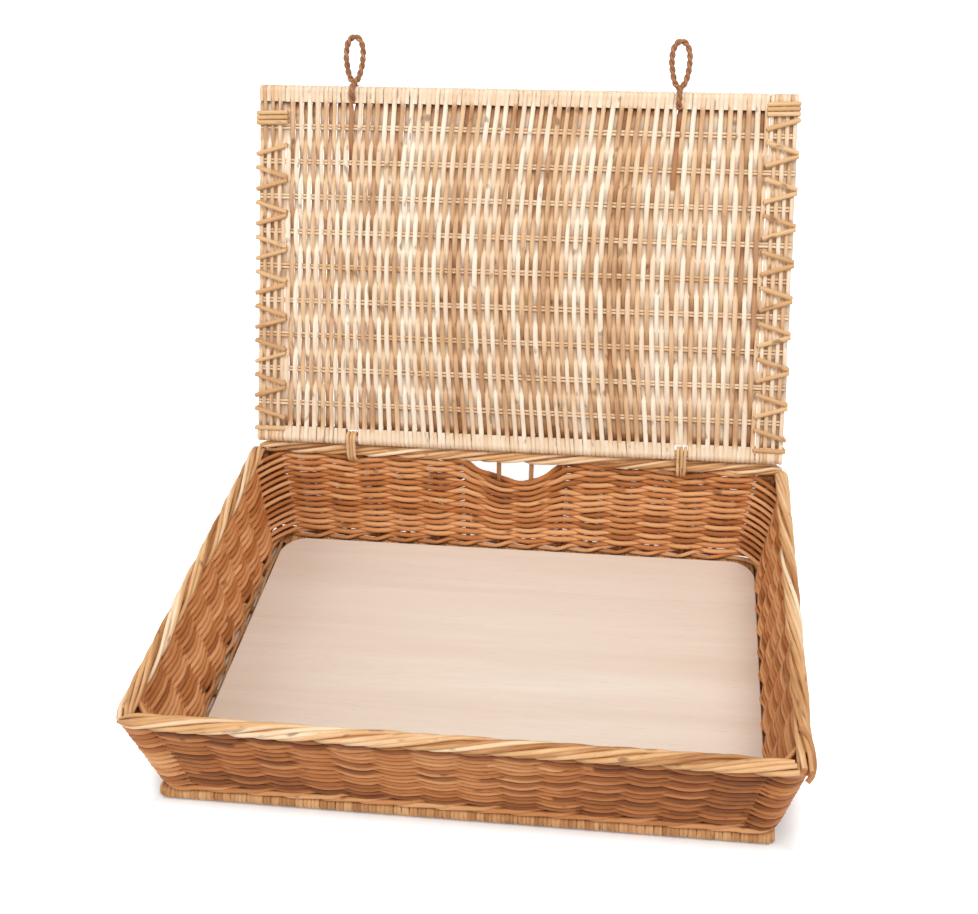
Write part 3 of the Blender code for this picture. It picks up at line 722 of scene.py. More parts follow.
# %% Rods, core and stakes of a side
def border_rods(side):
    """Helices about the rim's line: turn from 72 degrees below the outside, over the top, to the inside."""
    long_side = side in ("front", "rear")
    half = rim_half_length if long_side else border_y - border_radius - side_clearance
    middle = border_y if long_side else border_x
    widening = 1 + (spread_x if long_side else spread_y) * (border_z - base_thickness)
    places = np.linspace(-1, 1, stake_counts[side]) * (half_length[side] - stake_end_distance) * widening
    bay = places[1] - places[0]
    before, after = places[0] - bay * np.arange(5, 0, -1), places[-1] + bay * np.arange(1, 3)
    begins = np.concatenate([before, places, after])
    begins = np.concatenate([begins, begins[::2] + 0.5 * bay])
    end_room = long_end_room if long_side else short_end_room
    low_end, high_end = -half + end_room, half - end_room
    parts = []
    for start in begins:
        start = start + rng.uniform(-0.08, 0.08) * bay
        length = sweep_bays * bay * rng.uniform(0.94, 1.10)
        low, high = max(start, low_end), min(start + length, high_end - rng.uniform(0, end_chance))
        if side == "front":
            fan = fan_step * min((half - start) / length, 1.0)
            high = min(high, half - fan_room - fan - rng.uniform(0, end_chance))
        if high - low < 0.4 * bay:
            continue
        along = np.linspace(low, high, border_points)
        t = (along - start) / length
        angle = np.radians(-72 + 312 * t ** 0.96) + 0.05 * wander(1, border_points, 5)[0]
        thick = (butt_radius - tip_thinner * t) * rng.uniform(0.90, 1.10)
        held = smooth_step(t, -0.02, 0.12) * (1 - 0.75 * smooth_step(t, 0.90, 1.02))
        radius = (border_radius - thick) * np.maximum(held, 0.25) * (1 - 0.14 * rng.random())
        dive = np.zeros(border_points)
        if long_side:
            cap = rounded_end(along - low_end)
            if side == "rear":
                cap = cap * rounded_end(high_end - along)
            radius, thick = radius * cap, thick * np.maximum(cap, 0.5)
        else:
            right_end = smooth_step(along, half - dive_length, high_end)
            dive = end_dive * (right_end + smooth_step(-along, half - dive_length, -low_end))
        out, up = middle + radius * np.cos(angle), border_z + radius * np.sin(angle) - dive
        path = side_point(side, along, out, up)
        axis = side_point(side, along, np.full(border_points, middle), border_z - dive)
        tone = np.clip(0.50 + 0.27 * rng.standard_normal(), 0.08, 0.98)
        # Painted shade on the underside of the border rods, where the rim shades them.
        under = smooth_step(-np.sin(angle), 0.2, 0.9)
        parts.append(rods(path, thick, thick, unit(path - axis + 1e-9), tone, least_shade=0.5 * under))
    core_ends = np.array([low_end + core_left_gap, high_end - core_right_gap])
    core = side_point(side, core_ends, np.full(2, middle), np.full(2, border_z))
    return parts + [rods(core, core_radius, core_radius, (0, 0, 1), 0.1)]


def stake_rods(side):
    """Upright rods through the weave, with painted shade where the weave hides them and less of it in the
    hand slot.
    """
    first = 0 if side == "front" else corner_counts[sides.index(side) - 1] + 1
    height = np.linspace(wall_foot, stake_top, stake_points)
    # Painted shade on the stakes: strong inside the weave, weaker above it.
    weave_shade = 0.9 - 0.7 * smooth_step(height, *weave_fades)
    facing = (1, 0, 0) if side in ("front", "rear") else (0, 1, 0)
    parts = []
    for stake in range(stake_counts[side]):
        path = wall_place(np.full(stake_points, float(first + stake)), height)
        radius = stake_radius * (1 + 0.05 * wander(1, stake_points, 3)[0])
        parts.append(rods(path, radius, radius, facing, 0.05 + 0.25 * rng.random(), least_shade=weave_shade))
    return parts


for name in sides:
    parts = border_rods(name) + stake_rods(name)
    if name == "right":
        parts.append(rods(through(curl_points, 8), curl_radius, curl_radius, (0, 0, 1), 0.12))
    piece(f"{name}_border_rods", parts, border_willow, "basket", f"{name}_border_and_stakes")

# %% Corner posts
for number, corner in zip(corner_counts, corners):
    path = wall_place(np.full(10, float(number)), np.linspace(wall_foot, wall_top, 10))
    piece(f"corner_post_{corner}_rod", [rods(path, post_radius, post_radius, (1, 0, 0), 0.4, around=12)],
          stick_willow, "basket", f"corner_post_{corner}")

# %% [markdown]
# ## A weaver between two sticks
# The base and the lid are made alike: weavers run from one edge stick to the other, over and under
# the rods between, and wrap each edge stick. A weaver is then a smooth curve through a few points:
# the turn round a stick, one point above or below each rod and three between it and the next, and
# the turn round the far stick. A Catmull-Rom curve passes through all its points, so the points can
# simply be placed on the rods.

# %% Weavers that wrap their sticks
turn_angles = np.radians([58, 90, 125, 160, 195, 230, 265, 300])
weaver_steps = 2
beyond_tail, first_reach = 0.0012, 0.0085


def weavers(across, sign, bars, bar_radius, near, far, stick_radius, radius, skin, tail, sway,
            wraps_near=True, broad=1.0, crowd=1.0, tight=0.0, spread=0.0):
    """Paths, half sizes and levels of weavers over flat ground: x across, y from stick to stick, z up.

    sign says on which face each weaver passes the first bar, and changes from bar to bar. It keeps
    that face up to the stick, goes over the outer side to the other face, flattened to the skin, and
    ends there in a tail, that far from the stick. broad and crowd widen it on the ground and on the
    sticks, tight lets it press on the bars, and spread widens the strokes on the lower face, which
    close the sheet. Neighbours sway together, by chance summed over five, and a little on their own.
    A level is the height's share of the swing, squared, so that the painted recess shade falls only on a
    rod's deepest part.
    """
    turn = stick_radius + skin
    swing = bar_radius + radius * (1 - tight)
    plain, crowded = radius * broad, radius * crowd
    pitch = bars[1] - bars[0]

    def station(place, height, width=plain, depth=radius, shade=None):
        """A point of the path with its half sizes, and its level, which is its height's if not given."""
        return place, height, width, depth, np.clip(height / swing, -1, 1) if shade is None else shade

    def round_stick(stick, way, face, bar):
        """Stations from a tail, round a stick and out towards the nearest bar."""
        reach = max(tail + first_reach, 0.45 * abs(bar - stick))
        return (
            [station(stick + way * tail, -face * turn * 0.72, crowded, skin * 0.8)]
            + [station(stick + way * turn * math.cos(angle), -face * turn * math.sin(angle), crowded, skin)
               for angle in turn_angles]
            + [station(stick + way * tail + way * beyond_tail, face * swing * 0.90, shade=face),
               station(stick + way * reach, face * swing * 0.60, shade=0.45 * face)]
        )

    stations = round_stick(near, 1, 1, bars[0]) if wraps_near else [station(near, 0.0)]
    for index, bar in enumerate(bars):
        face = 1 if index % 2 == 0 else -1
        stations.append(station(bar, swing * face))
        if index + 1 < len(bars):
            stations += [station(bar + 0.30 * pitch, swing * 0.80 * face, shade=0.45 * face),
                         station(bar + 0.50 * pitch, 0.0),
                         station(bar + 0.70 * pitch, -swing * 0.80 * face, shade=-0.45 * face)]
    stations += round_stick(far, -1, face, bars[-1])[::-1]

    y, z, wide, deep, shade = np.array(stations, float).T
    rows, count = len(across), len(stations)
    drift = wander(rows + 4, count, 12)
    drift = sum(drift[shift:shift + rows] for shift in range(5)) * 0.5 + 0.35 * wander(rows, count, 12)
    points = np.empty((rows, count, 3))
    points[..., 0] = across[:, None] + sway * drift
    points[..., 1] = y
    points[..., 2] = sign[:, None] * z
    size = 1 + 0.07 * rng.standard_normal((rows, 1)).clip(-1.6, 1.6)
    size = size * (1 + 0.04 * wander(rows, (count - 1) * weaver_steps + 1, 8))
    path = through(points, weaver_steps)
    shade = drawn_out(shade, weaver_steps)
    levels = -sign[:, None] * shade * np.abs(shade) * np.sign(np.gradient(path[..., 1], axis=1))
    inner = smooth_step(np.minimum(path[..., 1] - near, far - path[..., 1]), tail * 0.8, tail * 1.1)
    fill = 1 + spread * inner * np.clip(-path[..., 2] / (0.6 * swing), 0, 1)
    return path, drawn_out(deep, weaver_steps) * size, drawn_out(wide, weaver_steps) * size * fill, levels


# %% [markdown]
# ## The base
# Two long sticks carry the front and the rear edge of the base, and five thinner ones lie between
# them. The weavers wrap the edge sticks, and those turns show under the front wall as a row of
# beads, two and two together. Towards the ends of the foot the turns are drawn in, which rounds it.

# %% Base weavers and sticks
base_half, base_edge, base_middle = 0.266, 0.163, 0.006
base_stick_radius, base_bar_radius = 0.004, 0.003
base_weaver_radius, base_skin, base_tail = 0.00140, 0.00095, 0.011
base_weaver_count, base_pair_gap, base_sway = 148, 0.00016, 0.0003
base_left_end, base_right_end = -base_half - 0.0030, base_half - 0.0080
end_rounding, end_rounding_length, on_edge = 0.004, 0.006, (0.14, 0.16)
base_stick_points, base_stick_gap = 24, 0.002


def base_stick(name, y, radius, tone, around):
    """One straight stick along the base, at its middle height."""
    x = np.linspace(base_left_end + base_stick_gap, base_right_end - base_stick_gap, base_stick_points)
    path = np.stack([x, np.full(x.size, y), np.full(x.size, base_middle)], -1)
    rod = rods(path, radius, radius, (0, 0, 1), tone, around)
    piece(f"{name}_rod", [rod], stick_willow, "basket", name)


def build_base():
    """Base weavers in pairs, with a small gap after each second one, and the sticks that they cover."""
    number = np.arange(base_weaver_count)
    odd = number % 2
    pitch = (base_right_end - base_left_end) / base_weaver_count
    across = base_left_end + (number + 0.5) * pitch
    across = across + np.where(odd, -1, 1) * base_pair_gap
    bars = list((np.arange(5) - 2) * 2 * base_edge / 6)
    path, deep, wide, levels = weavers(
        across, np.where(odd, 1.0, -1.0), bars, base_bar_radius, -base_edge, base_edge, base_stick_radius,
        base_weaver_radius, base_skin, base_tail, base_sway, broad=1.30, crowd=1.38, spread=0.45)
    from_end = np.minimum(path[..., 0] - base_left_end, base_right_end - path[..., 0])
    drawn = end_rounding * np.clip(1 - from_end / end_rounding_length, 0, 1) ** 2
    path[..., 1] -= np.sign(path[..., 1]) * drawn * smooth_step(np.abs(path[..., 1]), *on_edge)
    path[..., 2] += base_middle
    tone = np.repeat(0.3 + 0.5 * rng.random(base_weaver_count // 2), 2)[:, None]
    tone = tone + 0.08 * wander(base_weaver_count, path.shape[1], 9)
    piece("base_weavers", [rods(path, deep, wide, (1, 0, 0), tone, level=levels)], base_willow, "basket",
          "base_weave", "base_front_wrap", "base_rear_wrap")
    for index, bar in enumerate(bars):
        base_stick(f"base_inner_stick_{index + 1}", bar, base_bar_radius, 0.3 + 0.4 * rng.random(), 12)
    base_stick("base_front_stick", -base_edge, base_stick_radius, 0.5, 16)
    base_stick("base_rear_stick", base_edge, base_stick_radius, 0.5, 16)


build_base()

# %% [markdown]
# ## The lid
# The lid is made flat, in its own axes, and turned to its place at the end: x along the basket, y
# away from the hinges and z out of the inside face. Cream and tan weavers lie side by side by chance,
# and the outermost seven on each side are thinner and tighter and make the edge bands. In the
# photograph the weavers bow a little to the left half way up, part at the two loops, and turn brown
# where a loop's tail runs down among them.

# %% From the lid's axes to the basket's
lid_along = np.array([0.0, math.sin(lid_lean), math.cos(lid_lean)])
lid_out = np.array([0.0, -math.cos(lid_lean), math.sin(lid_lean)])
from_left = np.array([1.0, 0.0, 0.0])


def lid_way(vectors):
    """Directions of the lid turned to where it stands at rest."""
    return vectors[..., 0:1] * from_left + vectors[..., 1:2] * lid_along + vectors[..., 2:3] * lid_out


def on_lid(points):
    """Lid points turned and moved to where the lid stands at rest."""
    return lid_way(np.asarray(points, float)) + np.array([0.0, hinge_y, hinge_z])


lid_pairs = [lid_reach / 10 * (index + 1) for index in range(9)]
lid_edge_start, lid_middle_half = 0.2455, 0.2446
lid_skin, lid_stick_radius, lid_pair_radius = 0.0011, 0.0040, 0.00135
print("lid reaches to", [round(float(c), 4) for c in on_lid([0, lid_reach, 0])])

# %% Lid weavers
lid_weaver_count, lid_weaver_radius, lid_tail, lid_sway = 110, 0.0015, 0.0112, 0.0004
hinge_half_gap, hinge_gap_depth = 0.0060, 0.0092
lid_bow, full_bow_from, full_bow_to = 0.0125, -0.02, 0.09
loop_push, loop_push_width, loop_push_length, neck_from_edge = 0.0014, 0.0045, 0.006, 0.0120
loop_tail_half, loop_tail_start, loop_tail_end = 0.0022, 0.268, 0.0105
wrap_fades, shadow_begins, shadow_ends = (0.010, 0.013), (0.0100, 0.0118), (0.0165, 0.0225)
edge_weaver_count, edge_weaver_radius, edge_tail, edge_sway = 7, 0.00140, 0.0108, 0.0002


def bowed_left(x, y):
    """How far the weavers lie to the left: a half sine up the lid, eased to nothing at both sides."""
    lean = smooth_step(x, -lid_middle_half, full_bow_from)
    lean = lean * (1 - smooth_step(x, full_bow_to, lid_middle_half))
    return lid_bow * lean * np.sin(np.pi * np.clip(y / lid_reach, 0, 1))


def parted(x, y, loop):
    """A push away from a loop's neck: a Gaussian across, and one along about the neck's place."""
    away, beyond = x - loop, y - lid_reach + neck_from_edge
    push = loop_push * np.exp(-(away / loop_push_width) ** 2) * np.exp(-(beyond / loop_push_length) ** 2)
    return np.where(away < 0, -push, push)


def lid_shade(path, across, tone):
    """Tone of the lid's weavers: even on the wrapped sticks, brown in a loop's tail, and painted shade on the
    deeper strokes beside the wrap.
    """
    from_stick = np.minimum(path[..., 1], lid_reach - path[..., 1])
    on_stick = 1 - smooth_step(from_stick, *wrap_fades)
    shade = tone * (1 - 0.8 * on_stick) + 0.8 * on_stick * 0.80
    for loop in loop_places.values():
        near_loop = np.abs(across - loop)[:, None] < loop_tail_half
        in_tail = near_loop & (path[..., 1] > loop_tail_start) & (from_stick > loop_tail_end)
        shade = np.where(in_tail, -0.25, shade)
    # Painted shade: the deeper strokes are darkened just beside the wrap, where the wrapped sticks shade
    # them.
    shade_beside_wrap = smooth_step(from_stick, *shadow_begins) * (1 - smooth_step(from_stick, *shadow_ends))
    return shade - 0.75 * shade_beside_wrap * (path[..., 2] < 0)


def build_lid_middle():
    """Weavers of the lid's middle; those at a hinge stop short of the rear stick."""
    number = np.arange(lid_weaver_count)
    across = -lid_middle_half + (number + 0.5) * (2 * lid_middle_half / lid_weaver_count)
    sign = np.where(number % 2, 1.0, -1.0)
    cream = rng.random(lid_weaver_count) < 0.45
    cream_tone = rng.uniform(0.80, 1.0, lid_weaver_count)
    tone = np.where(cream, cream_tone, rng.uniform(0.25, 0.70, lid_weaver_count))
    at_hinge = np.abs(np.abs(across) - hinge_x) < hinge_half_gap
    parts = []
    for chosen, wraps_near, near in ((~at_hinge, True, 0.0), (at_hinge, False, hinge_gap_depth)):
        path, deep, wide, levels = weavers(
            across[chosen], sign[chosen], lid_pairs, lid_pair_radius, near, lid_reach, lid_stick_radius,
            lid_weaver_radius, lid_skin, lid_tail, lid_sway, wraps_near, broad=1.60, crowd=1.50,
            tight=0.2, spread=0.26)
        path[..., 0] -= bowed_left(path[..., 0], path[..., 1])
        for loop in loop_places.values():
            path[..., 0] += parted(path[..., 0], path[..., 1], loop)
        own_tone = tone[chosen][:, None] + 0.22 * wander(int(chosen.sum()), path.shape[1], 16)
        shade = lid_shade(path, across[chosen], own_tone)
        parts.append(rods(on_lid(path), deep, wide, from_left, shade, level=levels))
    piece("lid_weavers", parts, lid_willow, "lid", "lid_weave", "lid_front_wrap", "lid_rear_wrap_left",
          "lid_rear_wrap_middle", "lid_rear_wrap_right")


def build_lid_edge(name, side):
    """The close band of weavers at one side of the lid."""
    number = np.arange(edge_weaver_count)
    band = lid_half - lid_edge_start
    across = side * (lid_edge_start + (number + 0.5) * band / edge_weaver_count)
    path, deep, wide, levels = weavers(
        across, np.where(number % 2, -1.0, 1.0) * side, lid_pairs, lid_pair_radius, 0.0, lid_reach,
        lid_stick_radius, edge_weaver_radius, lid_skin, edge_tail, edge_sway, broad=1.50, crowd=1.40,
        tight=0.4, spread=0.60)
    tone = 0.35 + 0.5 * rng.random((edge_weaver_count, 1))
    tone = tone + 0.1 * wander(edge_weaver_count, path.shape[1], 9)
    piece(f"lid_{name}_edge_weavers", [rods(on_lid(path), deep, wide, from_left, tone, level=levels)],
          lid_willow, "lid", f"lid_{name}_edge_weave")


build_lid_middle()
build_lid_edge("left", -1)
build_lid_edge("right", 1)

# %% Lid sticks and pairs of rods
pair_half_gap, pair_bend = lid_pair_radius * 1.12, 0.0002
lid_rod_points = 40


def lid_rods(places, radius, tone, bend=0.0):
    """Rods along the basket at some distances from the hinges, in the lid's middle plane."""
    x, z = np.linspace(-lid_half, lid_half, lid_rod_points), np.zeros(lid_rod_points)
    paths = np.array([np.stack([x, y + bend * wander(1, lid_rod_points, 9)[0], z], -1) for y in places])
    size = radius * (1 + 0.06 * wander(len(places), lid_rod_points, 6))
    return [rods(on_lid(paths), size, size, lid_out, tone)]


for index, along in enumerate(lid_pairs):
    tone = 0.5 + 0.4 * rng.random((2, 1)) + 0.25 * wander(2, lid_rod_points, 10)
    pair = lid_rods((along - pair_half_gap, along + pair_half_gap), lid_pair_radius, tone, pair_bend)
    piece(f"lid_rods_{index + 1}", pair, lid_rod_willow, "lid", f"lid_rod_pair_{index + 1}")
for name, along in (("rear", 0.0), ("front", lid_reach)):
    piece(f"lid_{name}_stick_rod", lid_rods([along], lid_stick_radius, 0.6), lid_rod_willow, "lid",
          f"lid_{name}_stick")

# %% [markdown]
# ## Lashing
# Two thin rods bind each edge band. On the inside face they spread and meet again, which draws a row
# of arrowheads; on the left they meet at the inner edge and on the right at the outer edge, so that
# all of them point the same way. At the corners they cross the face almost straight, three turns at
# the front and one at the rear. Each turn is four corners, and each corner is eased into a round one.
# The left band has one arrowhead less, so there the trailing rod goes round twice at its end.

# %% Lashing rods
lashing_radius, corner_ease = 0.00160, 0.0016
leading_front, leading_back, trailing_front, trailing_back = 0.0056, 0.0054, 0.0060, 0.0078
first_turn, turn_step, pair_step = 0.0082, 0.0032, lid_reach / 10
outer_x, inner_x = lid_half + 0.0012, lid_edge_start - 0.0016
half_spread, half_meeting = 0.0110, 0.0020
left_front, right_front = 0.3252, lid_reach - first_turn - 2 * turn_step
front_step, front_slant_step, front_slant = 0.0048, 0.0050, 0.0008


def lashing(name, kind, spread_at, meeting_at, turns, level_front, level_back):
    """One lashing rod through its turns; each turn crosses the inside face and comes back outside."""
    points = []
    for spread, meeting in turns:
        turn = [(spread_at, spread, -level_back), (spread_at, spread, level_front),
                (meeting_at, meeting, level_front), (meeting_at, meeting, -level_back)]
        points += turn[::-1] if kind == "trailing" else turn
    points = np.array(points)
    rounded = [points[0]]
    for before, corner, after in zip(points[:-2], points[1:-1], points[2:]):
        rounded += [corner + unit(before - corner) * corner_ease, corner + unit(after - corner) * corner_ease]
    path = through(rounded + [points[-1]], 3)
    size = lashing_radius * (1 + 0.10 * wander(1, len(path), 30)[0])
    through_band = np.abs(unit(np.gradient(path, axis=0))[:, 2:3]) > 0.75
    up = np.where(through_band, np.sign(path[:, 0:1]) * from_left, np.array([[0, 0, 1.0]]))
    tone = 0.55 + 0.25 * wander(1, len(path), 20)
    rod = rods(on_lid(path), size * 1.35, size * 0.9, lid_way(up)[None], tone)
    piece(f"lid_{name}_lashing_{kind}_rod", [rod], lashing_willow, "lid", f"lid_{name}_lashing_{kind}")


for name, spread_at, meeting_at, heads, front in (
        ("left", -outer_x, -inner_x, 8, left_front), ("right", inner_x, outer_x, 9, right_front)):
    meetings = [(index + 1.5) * pair_step for index in range(heads)]
    leading = [(first_turn, first_turn)]
    leading += [(meeting - half_spread, meeting - half_meeting) for meeting in meetings]
    leading += [(front + index * front_step, front + index * front_slant_step + front_slant)
                for index in range(3)]
    trailing = [(meeting - pair_step + half_spread, meeting - pair_step + half_meeting)
                for meeting in meetings]
    if name == "left":
        trailing.append(trailing[-1])
    lashing(name, "leading", spread_at, meeting_at, leading, leading_front, leading_back)
    lashing(name, "trailing", spread_at, meeting_at, trailing, trailing_front, trailing_back)

# %% [markdown]
# ## Hinges
# A willow basket needs no metal hinge. Three thin rods go round the lid's rear stick and through the
# wall under the border; the stick turns in them. Each is a ring of two arcs, a small one round the
# stick and a wide one round the border.

# %% Hinge rods
hinge_rod_radius, hinge_rod_pitch, ring_sway = 0.00165, 0.0035, 0.0004
stick_clearance, border_clearance = 0.0009, 0.0011


def build_hinge(name, side):
    """Rings that touch a small circle above and a wide circle below, joined by straight sides."""
    parts = []
    for place, tone in ((-hinge_rod_pitch, 0.8), (0.0, 0.55), (hinge_rod_pitch, 0.7)):
        radius = hinge_rod_radius * rng.uniform(0.95, 1.05)
        small = lid_stick_radius + stick_clearance + radius
        large = border_radius + border_clearance + radius
        tilt = math.asin((large - small) / (hinge_z - border_z))
        above_angle = np.linspace(tilt, math.pi - tilt, 18)
        below_angle = np.linspace(math.pi - tilt, 2 * math.pi + tilt, 30)
        y = np.concatenate([hinge_y + small * np.cos(above_angle), border_y + large * np.cos(below_angle)])
        z = np.concatenate([hinge_z + small * np.sin(above_angle), border_z + large * np.sin(below_angle)])
        keep = np.concatenate([[True], np.hypot(np.diff(y), np.diff(z)) > 1e-6])
        y, z = y[keep], z[keep]
        round_ring = np.linspace(0, 2 * np.pi, len(y), endpoint=False)
        x = side * (hinge_x + place) + ring_sway * np.sin(round_ring + 5 * rng.random())
        parts.append(rods(np.stack([x, y, z], -1), radius, radius, from_left, tone, around=10, closed=True))
    piece(f"hinge_{name}_rods", parts, lashing_willow, "basket", f"hinge_ring_{name}_inner",
          f"hinge_ring_{name}_outer")


build_hinge("left", -1)
build_hinge("right", 1)

# %% [markdown]
# ## Twisted loops
# Each loop is one willow rod twisted on itself until its fibres part, so that it bends like cord. It
# is drawn as two plies that wind round a middle line: a grip round the front stick, a neck that
# turns a quarter, and an open eye. The winding is a helix on a frame that turns with the neck.

# %% The loop's middle line
ply_radius, ply_share, twist_length = 0.00185, 0.72, 0.0150
grip_radius = lid_stick_radius + 2 * lid_skin + 0.0032
neck_height, eye_top, eye_half, ply_offset = 0.01175, 0.05535, 0.0082, 0.0022
neck_turns = (0.004, 0.016)


def loop_line():
    """Middle line in the lid's axes about the front stick: an arc round it, then an egg above the neck."""
    grip = np.radians(np.linspace(30, 330, 16))
    points = [(0.0, grip_radius * math.cos(angle), grip_radius * math.sin(angle)) for angle in grip]
    for turn in np.linspace(0, 2 * math.pi, 22):
        closing = (1 + math.cos(turn)) / 2
        across = eye_half * math.sin(turn) * (1 - 0.30 * math.cos(turn))
        offset = ply_offset * closing ** 2 * (1 if turn < math.pi else -1)
        points.append((-across - offset, neck_height + (eye_top - neck_height) * (1 - closing), -offset))
    return through(points + points[:1], 6)[:-1]


# %% Loops
def build_loops():
    """Two plies, half a turn apart, round the middle line of grip, neck and eye."""
    middle = loop_line()
    length = np.concatenate([[0], np.cumsum(np.linalg.norm(np.diff(middle, axis=0), axis=1))])
    total = length[-1] + np.linalg.norm(middle[0] - middle[-1])
    turns = round(total / twist_length)
    tangent = unit(np.roll(middle, -1, 0) - np.roll(middle, 1, 0))
    blend = smooth_step(middle[:, 1], *neck_turns)[:, None]
    up = (1 - blend) * from_left + blend * np.array([0, 0, 1.0])
    side = unit(np.cross(tangent, up))
    top = np.cross(side, tangent)
    for name, place in loop_places.items():
        parts = []
        for start in (0.0, math.pi):
            wind = start + 2 * math.pi * turns * length / total
            radial = np.cos(wind)[:, None] * side + np.sin(wind)[:, None] * top
            ply = middle + ply_radius * ply_share * radial + np.array([place, lid_reach, 0.0])
            size = ply_radius * (1 + 0.06 * wander(1, len(ply), 24)[0])
            tone = 0.35 + 0.3 * rng.random()
            parts.append(rods(on_lid(ply), size, size, lid_way(radial), tone, closed=True))
        piece(f"loop_{name}_plies", parts, loop_willow, f"loop_{name}", f"loop_{name}")
    print("length of a loop's middle line:", round(float(total), 4), "m, turns of its twist:", turns)


build_loops()

# %% [markdown]
# ## The plywood floor
# A loose sheet of birch plywood lies on the base. Its face has long, fine grain from left to right
# and soft pinkish bands; its edge shows the plies. The sheet is an outline with round corners,
# carried up through an eased edge, so it is again a ring of points on two parameters.

# %% Birch plywood
band_colours = (0.66, 0.51, 0.385, 1.0), (0.95, 0.885, 0.80, 1.0)
grain_brown, pore_brown = (0.72, 0.57, 0.44, 1.0), (0.38, 0.22, 0.13, 1.0)
edge_brown = (0.36, 0.21, 0.11, 1.0)
plies_per_metre = 750.0


def plywood_material():
    """Grain from stretched noise in object coordinates, and plies in height on the edge."""
    material, tree, shader = new_material("birch_plywood")
    place = add(tree, "ShaderNodeTexCoord").outputs["Object"]

    def grain(scale, detail, roughness, distortion=0.0):
        """Noise with so many grains to a metre along each axis."""
        mapping = add(tree, "ShaderNodeMapping")
        mapping.inputs["Scale"].default_value = scale
        feed(tree, place, mapping.inputs[0])
        return noise_at(tree, mapping.outputs[0], detail, roughness, distortion)

    bands = grain((1.6, 26.0, 1.0), 3.0, 0.55, 0.6)
    fine = grain((22.0, 520.0, 40.0), 3.0, 0.6)
    pores = grain((60.0, 1500.0, 40.0), 1.0, 0.5)
    colour = mix_colours(tree, bands, *band_colours)
    colour = mix_colours(tree, math_node(tree, "MULTIPLY", fine, 0.55), colour, grain_brown)
    dots = math_node(tree, "MULTIPLY", above(tree, pores, 0.66, 4.0), 0.5)
    colour = mix_colours(tree, dots, colour, pore_brown)
    ply = math_node(tree, "FRACT", math_node(tree, "MULTIPLY", split_up(tree, place)[2], plies_per_metre))
    ply = math_node(tree, "GREATER_THAN", ply, 0.5)
    normal = add(tree, "ShaderNodeNewGeometry").outputs["Normal"]
    edge = math_node(tree, "LESS_THAN", math_node(tree, "ABSOLUTE", split_up(tree, normal)[2]), 0.5)
    edge = math_node(tree, "MULTIPLY", math_node(tree, "MULTIPLY", edge, ply), 0.6)
    colour = mix_colours(tree, edge, colour, edge_brown)
    feed(tree, colour, shader.inputs["Base Color"])
    rough = math_node(tree, "ADD", math_node(tree, "MULTIPLY", fine, 0.25), 0.38)
    feed(tree, rough, shader.inputs["Roughness"])
    bump_into(tree, shader, fine, strength=0.3, distance=0.0003)
    return material


# %% Floor board
board_corner, board_ease, points_to_corner = 0.026, 0.0005, 16


def build_board():
    """Rounded rectangle carried through four levels; the outer two are drawn in to ease the edges."""
    low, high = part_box("floor_board")
    around = 4 * points_to_corner
    angle = np.linspace(0, 90, points_to_corner) + 90 * np.arange(4)[:, None]
    angle = np.radians(angle.reshape(-1))
    quadrant = np.repeat(np.array([[1, 1], [-1, 1], [-1, -1], [1, -1]]), points_to_corner, 0)
    centre = quadrant * [high[0] - board_corner, high[1] - board_corner]
    way = np.stack([np.cos(angle), np.sin(angle)], -1)
    levels = [(low[2], board_ease), (low[2] + board_ease, 0),
              (high[2] - board_ease, 0), (high[2], board_ease)]
    rings = [np.concatenate([centre + way * (board_corner - drawn), np.full((around, 1), z)], 1)
             for z, drawn in levels]
    step, spoke = np.meshgrid(np.arange(3), np.arange(around), indexing="ij")
    first, beside = step * around + spoke, step * around + (spoke + 1) % around
    quads = np.stack([first, beside, beside + around, first + around], -1)
    below, over = np.arange(around)[::-1], np.arange(around) + 3 * around
    mesh = bpy.data.meshes.new("floor_plywood")
    faces = quads.reshape(-1, 4).tolist() + [below.tolist(), over.tolist()]
    mesh.from_pydata(np.concatenate(rings).tolist(), [], faces)
    mesh.materials.append(plywood_material())
    board = bpy.data.objects.new("floor_plywood", mesh)
    bpy.context.scene.collection.objects.link(board)
    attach(board, "floor_board")
    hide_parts("floor_board")
    piece_triangles.append(2 * 3 * around + 2 * (around - 2))


build_board()
print("pieces:", len(piece_triangles), "triangles:", sum(piece_triangles), "most:", max(piece_triangles))

# %% [markdown]
# ## Floor, light and camera
# The basket stands on a plain white floor under soft studio light. What a lens sees of the floor
# directly is lifted towards white, as a bright backdrop is, but less so under and near the basket,
# where its soft shadow lies. The camera was found by solving for the corners of the rim, the foot and
# the lid in the photograph.

# %% White floor
floor_half, floor_white = 9.0, (0.82, 0.82, 0.82, 1)
footprint_half = (0.268, 0.167)
near_distance, far_distance, near_lift, far_lift = 0.35, 1.6, 0.66, 0.75
full_white = (1, 1, 1, 1)


def seen_directly(tree):
    """One for rays that show a thing by itself: from the camera, in a mirror or through glass."""
    rays = add(tree, "ShaderNodeLightPath")
    seen = math_node(tree, "MAXIMUM", rays.outputs["Is Camera Ray"], rays.outputs["Is Glossy Ray"])
    return math_node(tree, "MAXIMUM", seen, rays.outputs["Is Transmission Ray"])


def ramp(tree, value, from_low, from_high, to_low, to_high):
    """A value carried from one range to another along an even S."""
    node = add(tree, "ShaderNodeMapRange", interpolation_type="SMOOTHSTEP")
    for number, setting in enumerate((value, from_low, from_high, to_low, to_high)):
        feed(tree, setting, node.inputs[number])
    return node.outputs[0]


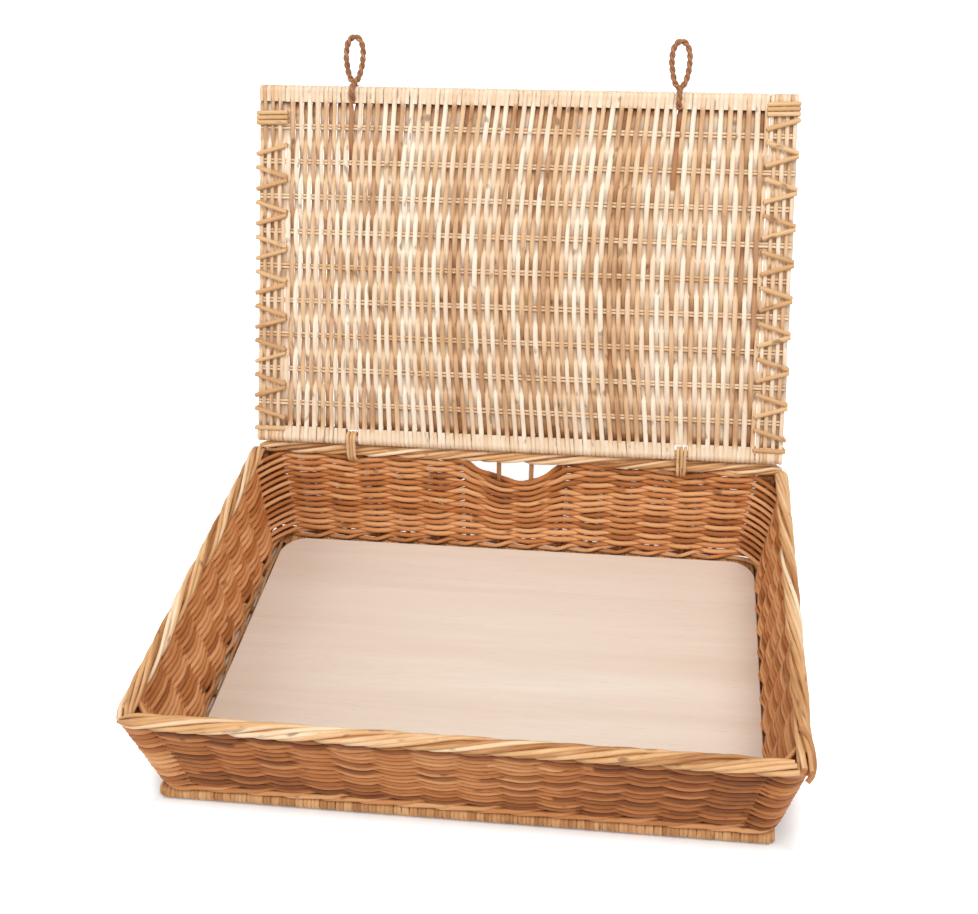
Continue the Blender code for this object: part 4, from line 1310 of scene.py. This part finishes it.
def build_floor():
    """A wide sheet at the base. Its lift grows with the distance and is nothing under the footprint."""
    mesh = bpy.data.meshes.new("studio_floor")
    floor_corners = [(x * floor_half, y * floor_half, 0) for x, y in ((-1, -1), (1, -1), (1, 1), (-1, 1))]
    mesh.from_pydata(floor_corners, [], [(0, 1, 2, 3)])
    floor = bpy.data.objects.new("studio_floor", mesh)
    bpy.context.scene.collection.objects.link(floor)
    material, tree, shader = new_material("studio_floor")
    shader.inputs["Base Color"].default_value = floor_white
    shader.inputs["Roughness"].default_value = 0.9
    shader.inputs["Emission Color"].default_value = full_white
    place = add(tree, "ShaderNodeTexCoord").outputs["Object"]
    away = add(tree, "ShaderNodeVectorMath", operation="LENGTH")
    feed(tree, place, away.inputs[0])
    lift = ramp(tree, away.outputs["Value"], near_distance, far_distance, near_lift, far_lift)
    beyond = [math_node(tree, "DIVIDE", math_node(tree, "ABSOLUTE", part), half)
              for part, half in zip(split_up(tree, place), footprint_half)]
    outside = ramp(tree, math_node(tree, "MAXIMUM", *beyond), 0.98, 1.12, 0.0, 1.0)
    lifted = math_node(tree, "MULTIPLY", lift, outside)
    lifted = math_node(tree, "MULTIPLY", seen_directly(tree), lifted)
    feed(tree, lifted, shader.inputs["Emission Strength"])
    mesh.materials.append(material)


build_floor()

# %% World and lamps
world_light, seen_extra = 0.50, 0.50
key_place, fill_place, lamp_target = (0.75, -0.95, 2.35), (-1.6, -0.9, 1.5), (0, 0, 0.15)
world = bpy.data.worlds.new("studio")
world.use_nodes = True
bpy.context.scene.world = world
background = world.node_tree.nodes["Background"]
background.inputs["Color"].default_value = full_white
brighter = math_node(world.node_tree, "MULTIPLY", seen_directly(world.node_tree), seen_extra)
feed(world.node_tree, math_node(world.node_tree, "ADD", brighter, world_light), background.inputs["Strength"])


def area_lamp(name, place, size, power):
    """A square soft lamp that looks at the basket."""
    data = bpy.data.lights.new(name, "AREA")
    data.size, data.energy = size, power
    lamp = bpy.data.objects.new(name, data)
    lamp.location = place
    way = np.array(lamp_target) - np.array(place)
    tip = math.acos(-way[2] / np.linalg.norm(way))
    lamp.rotation_euler = (tip, 0, math.atan2(way[1], way[0]) - math.pi / 2)
    bpy.context.scene.collection.objects.link(lamp)


area_lamp("key_lamp", key_place, 1.2, 38)
area_lamp("fill_lamp", fill_place, 1.5, 16)

# %% Camera
photo_width, photo_height = 978, 914
focal_pixels, centre_x, centre_y = 1205.3, 556.8, 334.8
camera_data = bpy.data.cameras.new("camera")
camera = bpy.data.objects.new("camera", camera_data)
bpy.context.scene.collection.objects.link(camera)
camera.location = (0.1613, -0.7997, 0.8910)
camera.rotation_euler = tuple(math.radians(angle) for angle in (57.879, 1.183, 5.925))
camera_data.sensor_width = 36.0
camera_data.lens = focal_pixels * camera_data.sensor_width / photo_width
camera_data.shift_x = (photo_width / 2 - centre_x) / photo_width
camera_data.shift_y = (centre_y - photo_height / 2) / photo_width
camera_data.clip_start = 0.01
bpy.context.scene.camera = camera
bpy.context.scene.view_settings.view_transform = "Standard"
print("focal length:", round(camera_data.lens, 2), "mm")
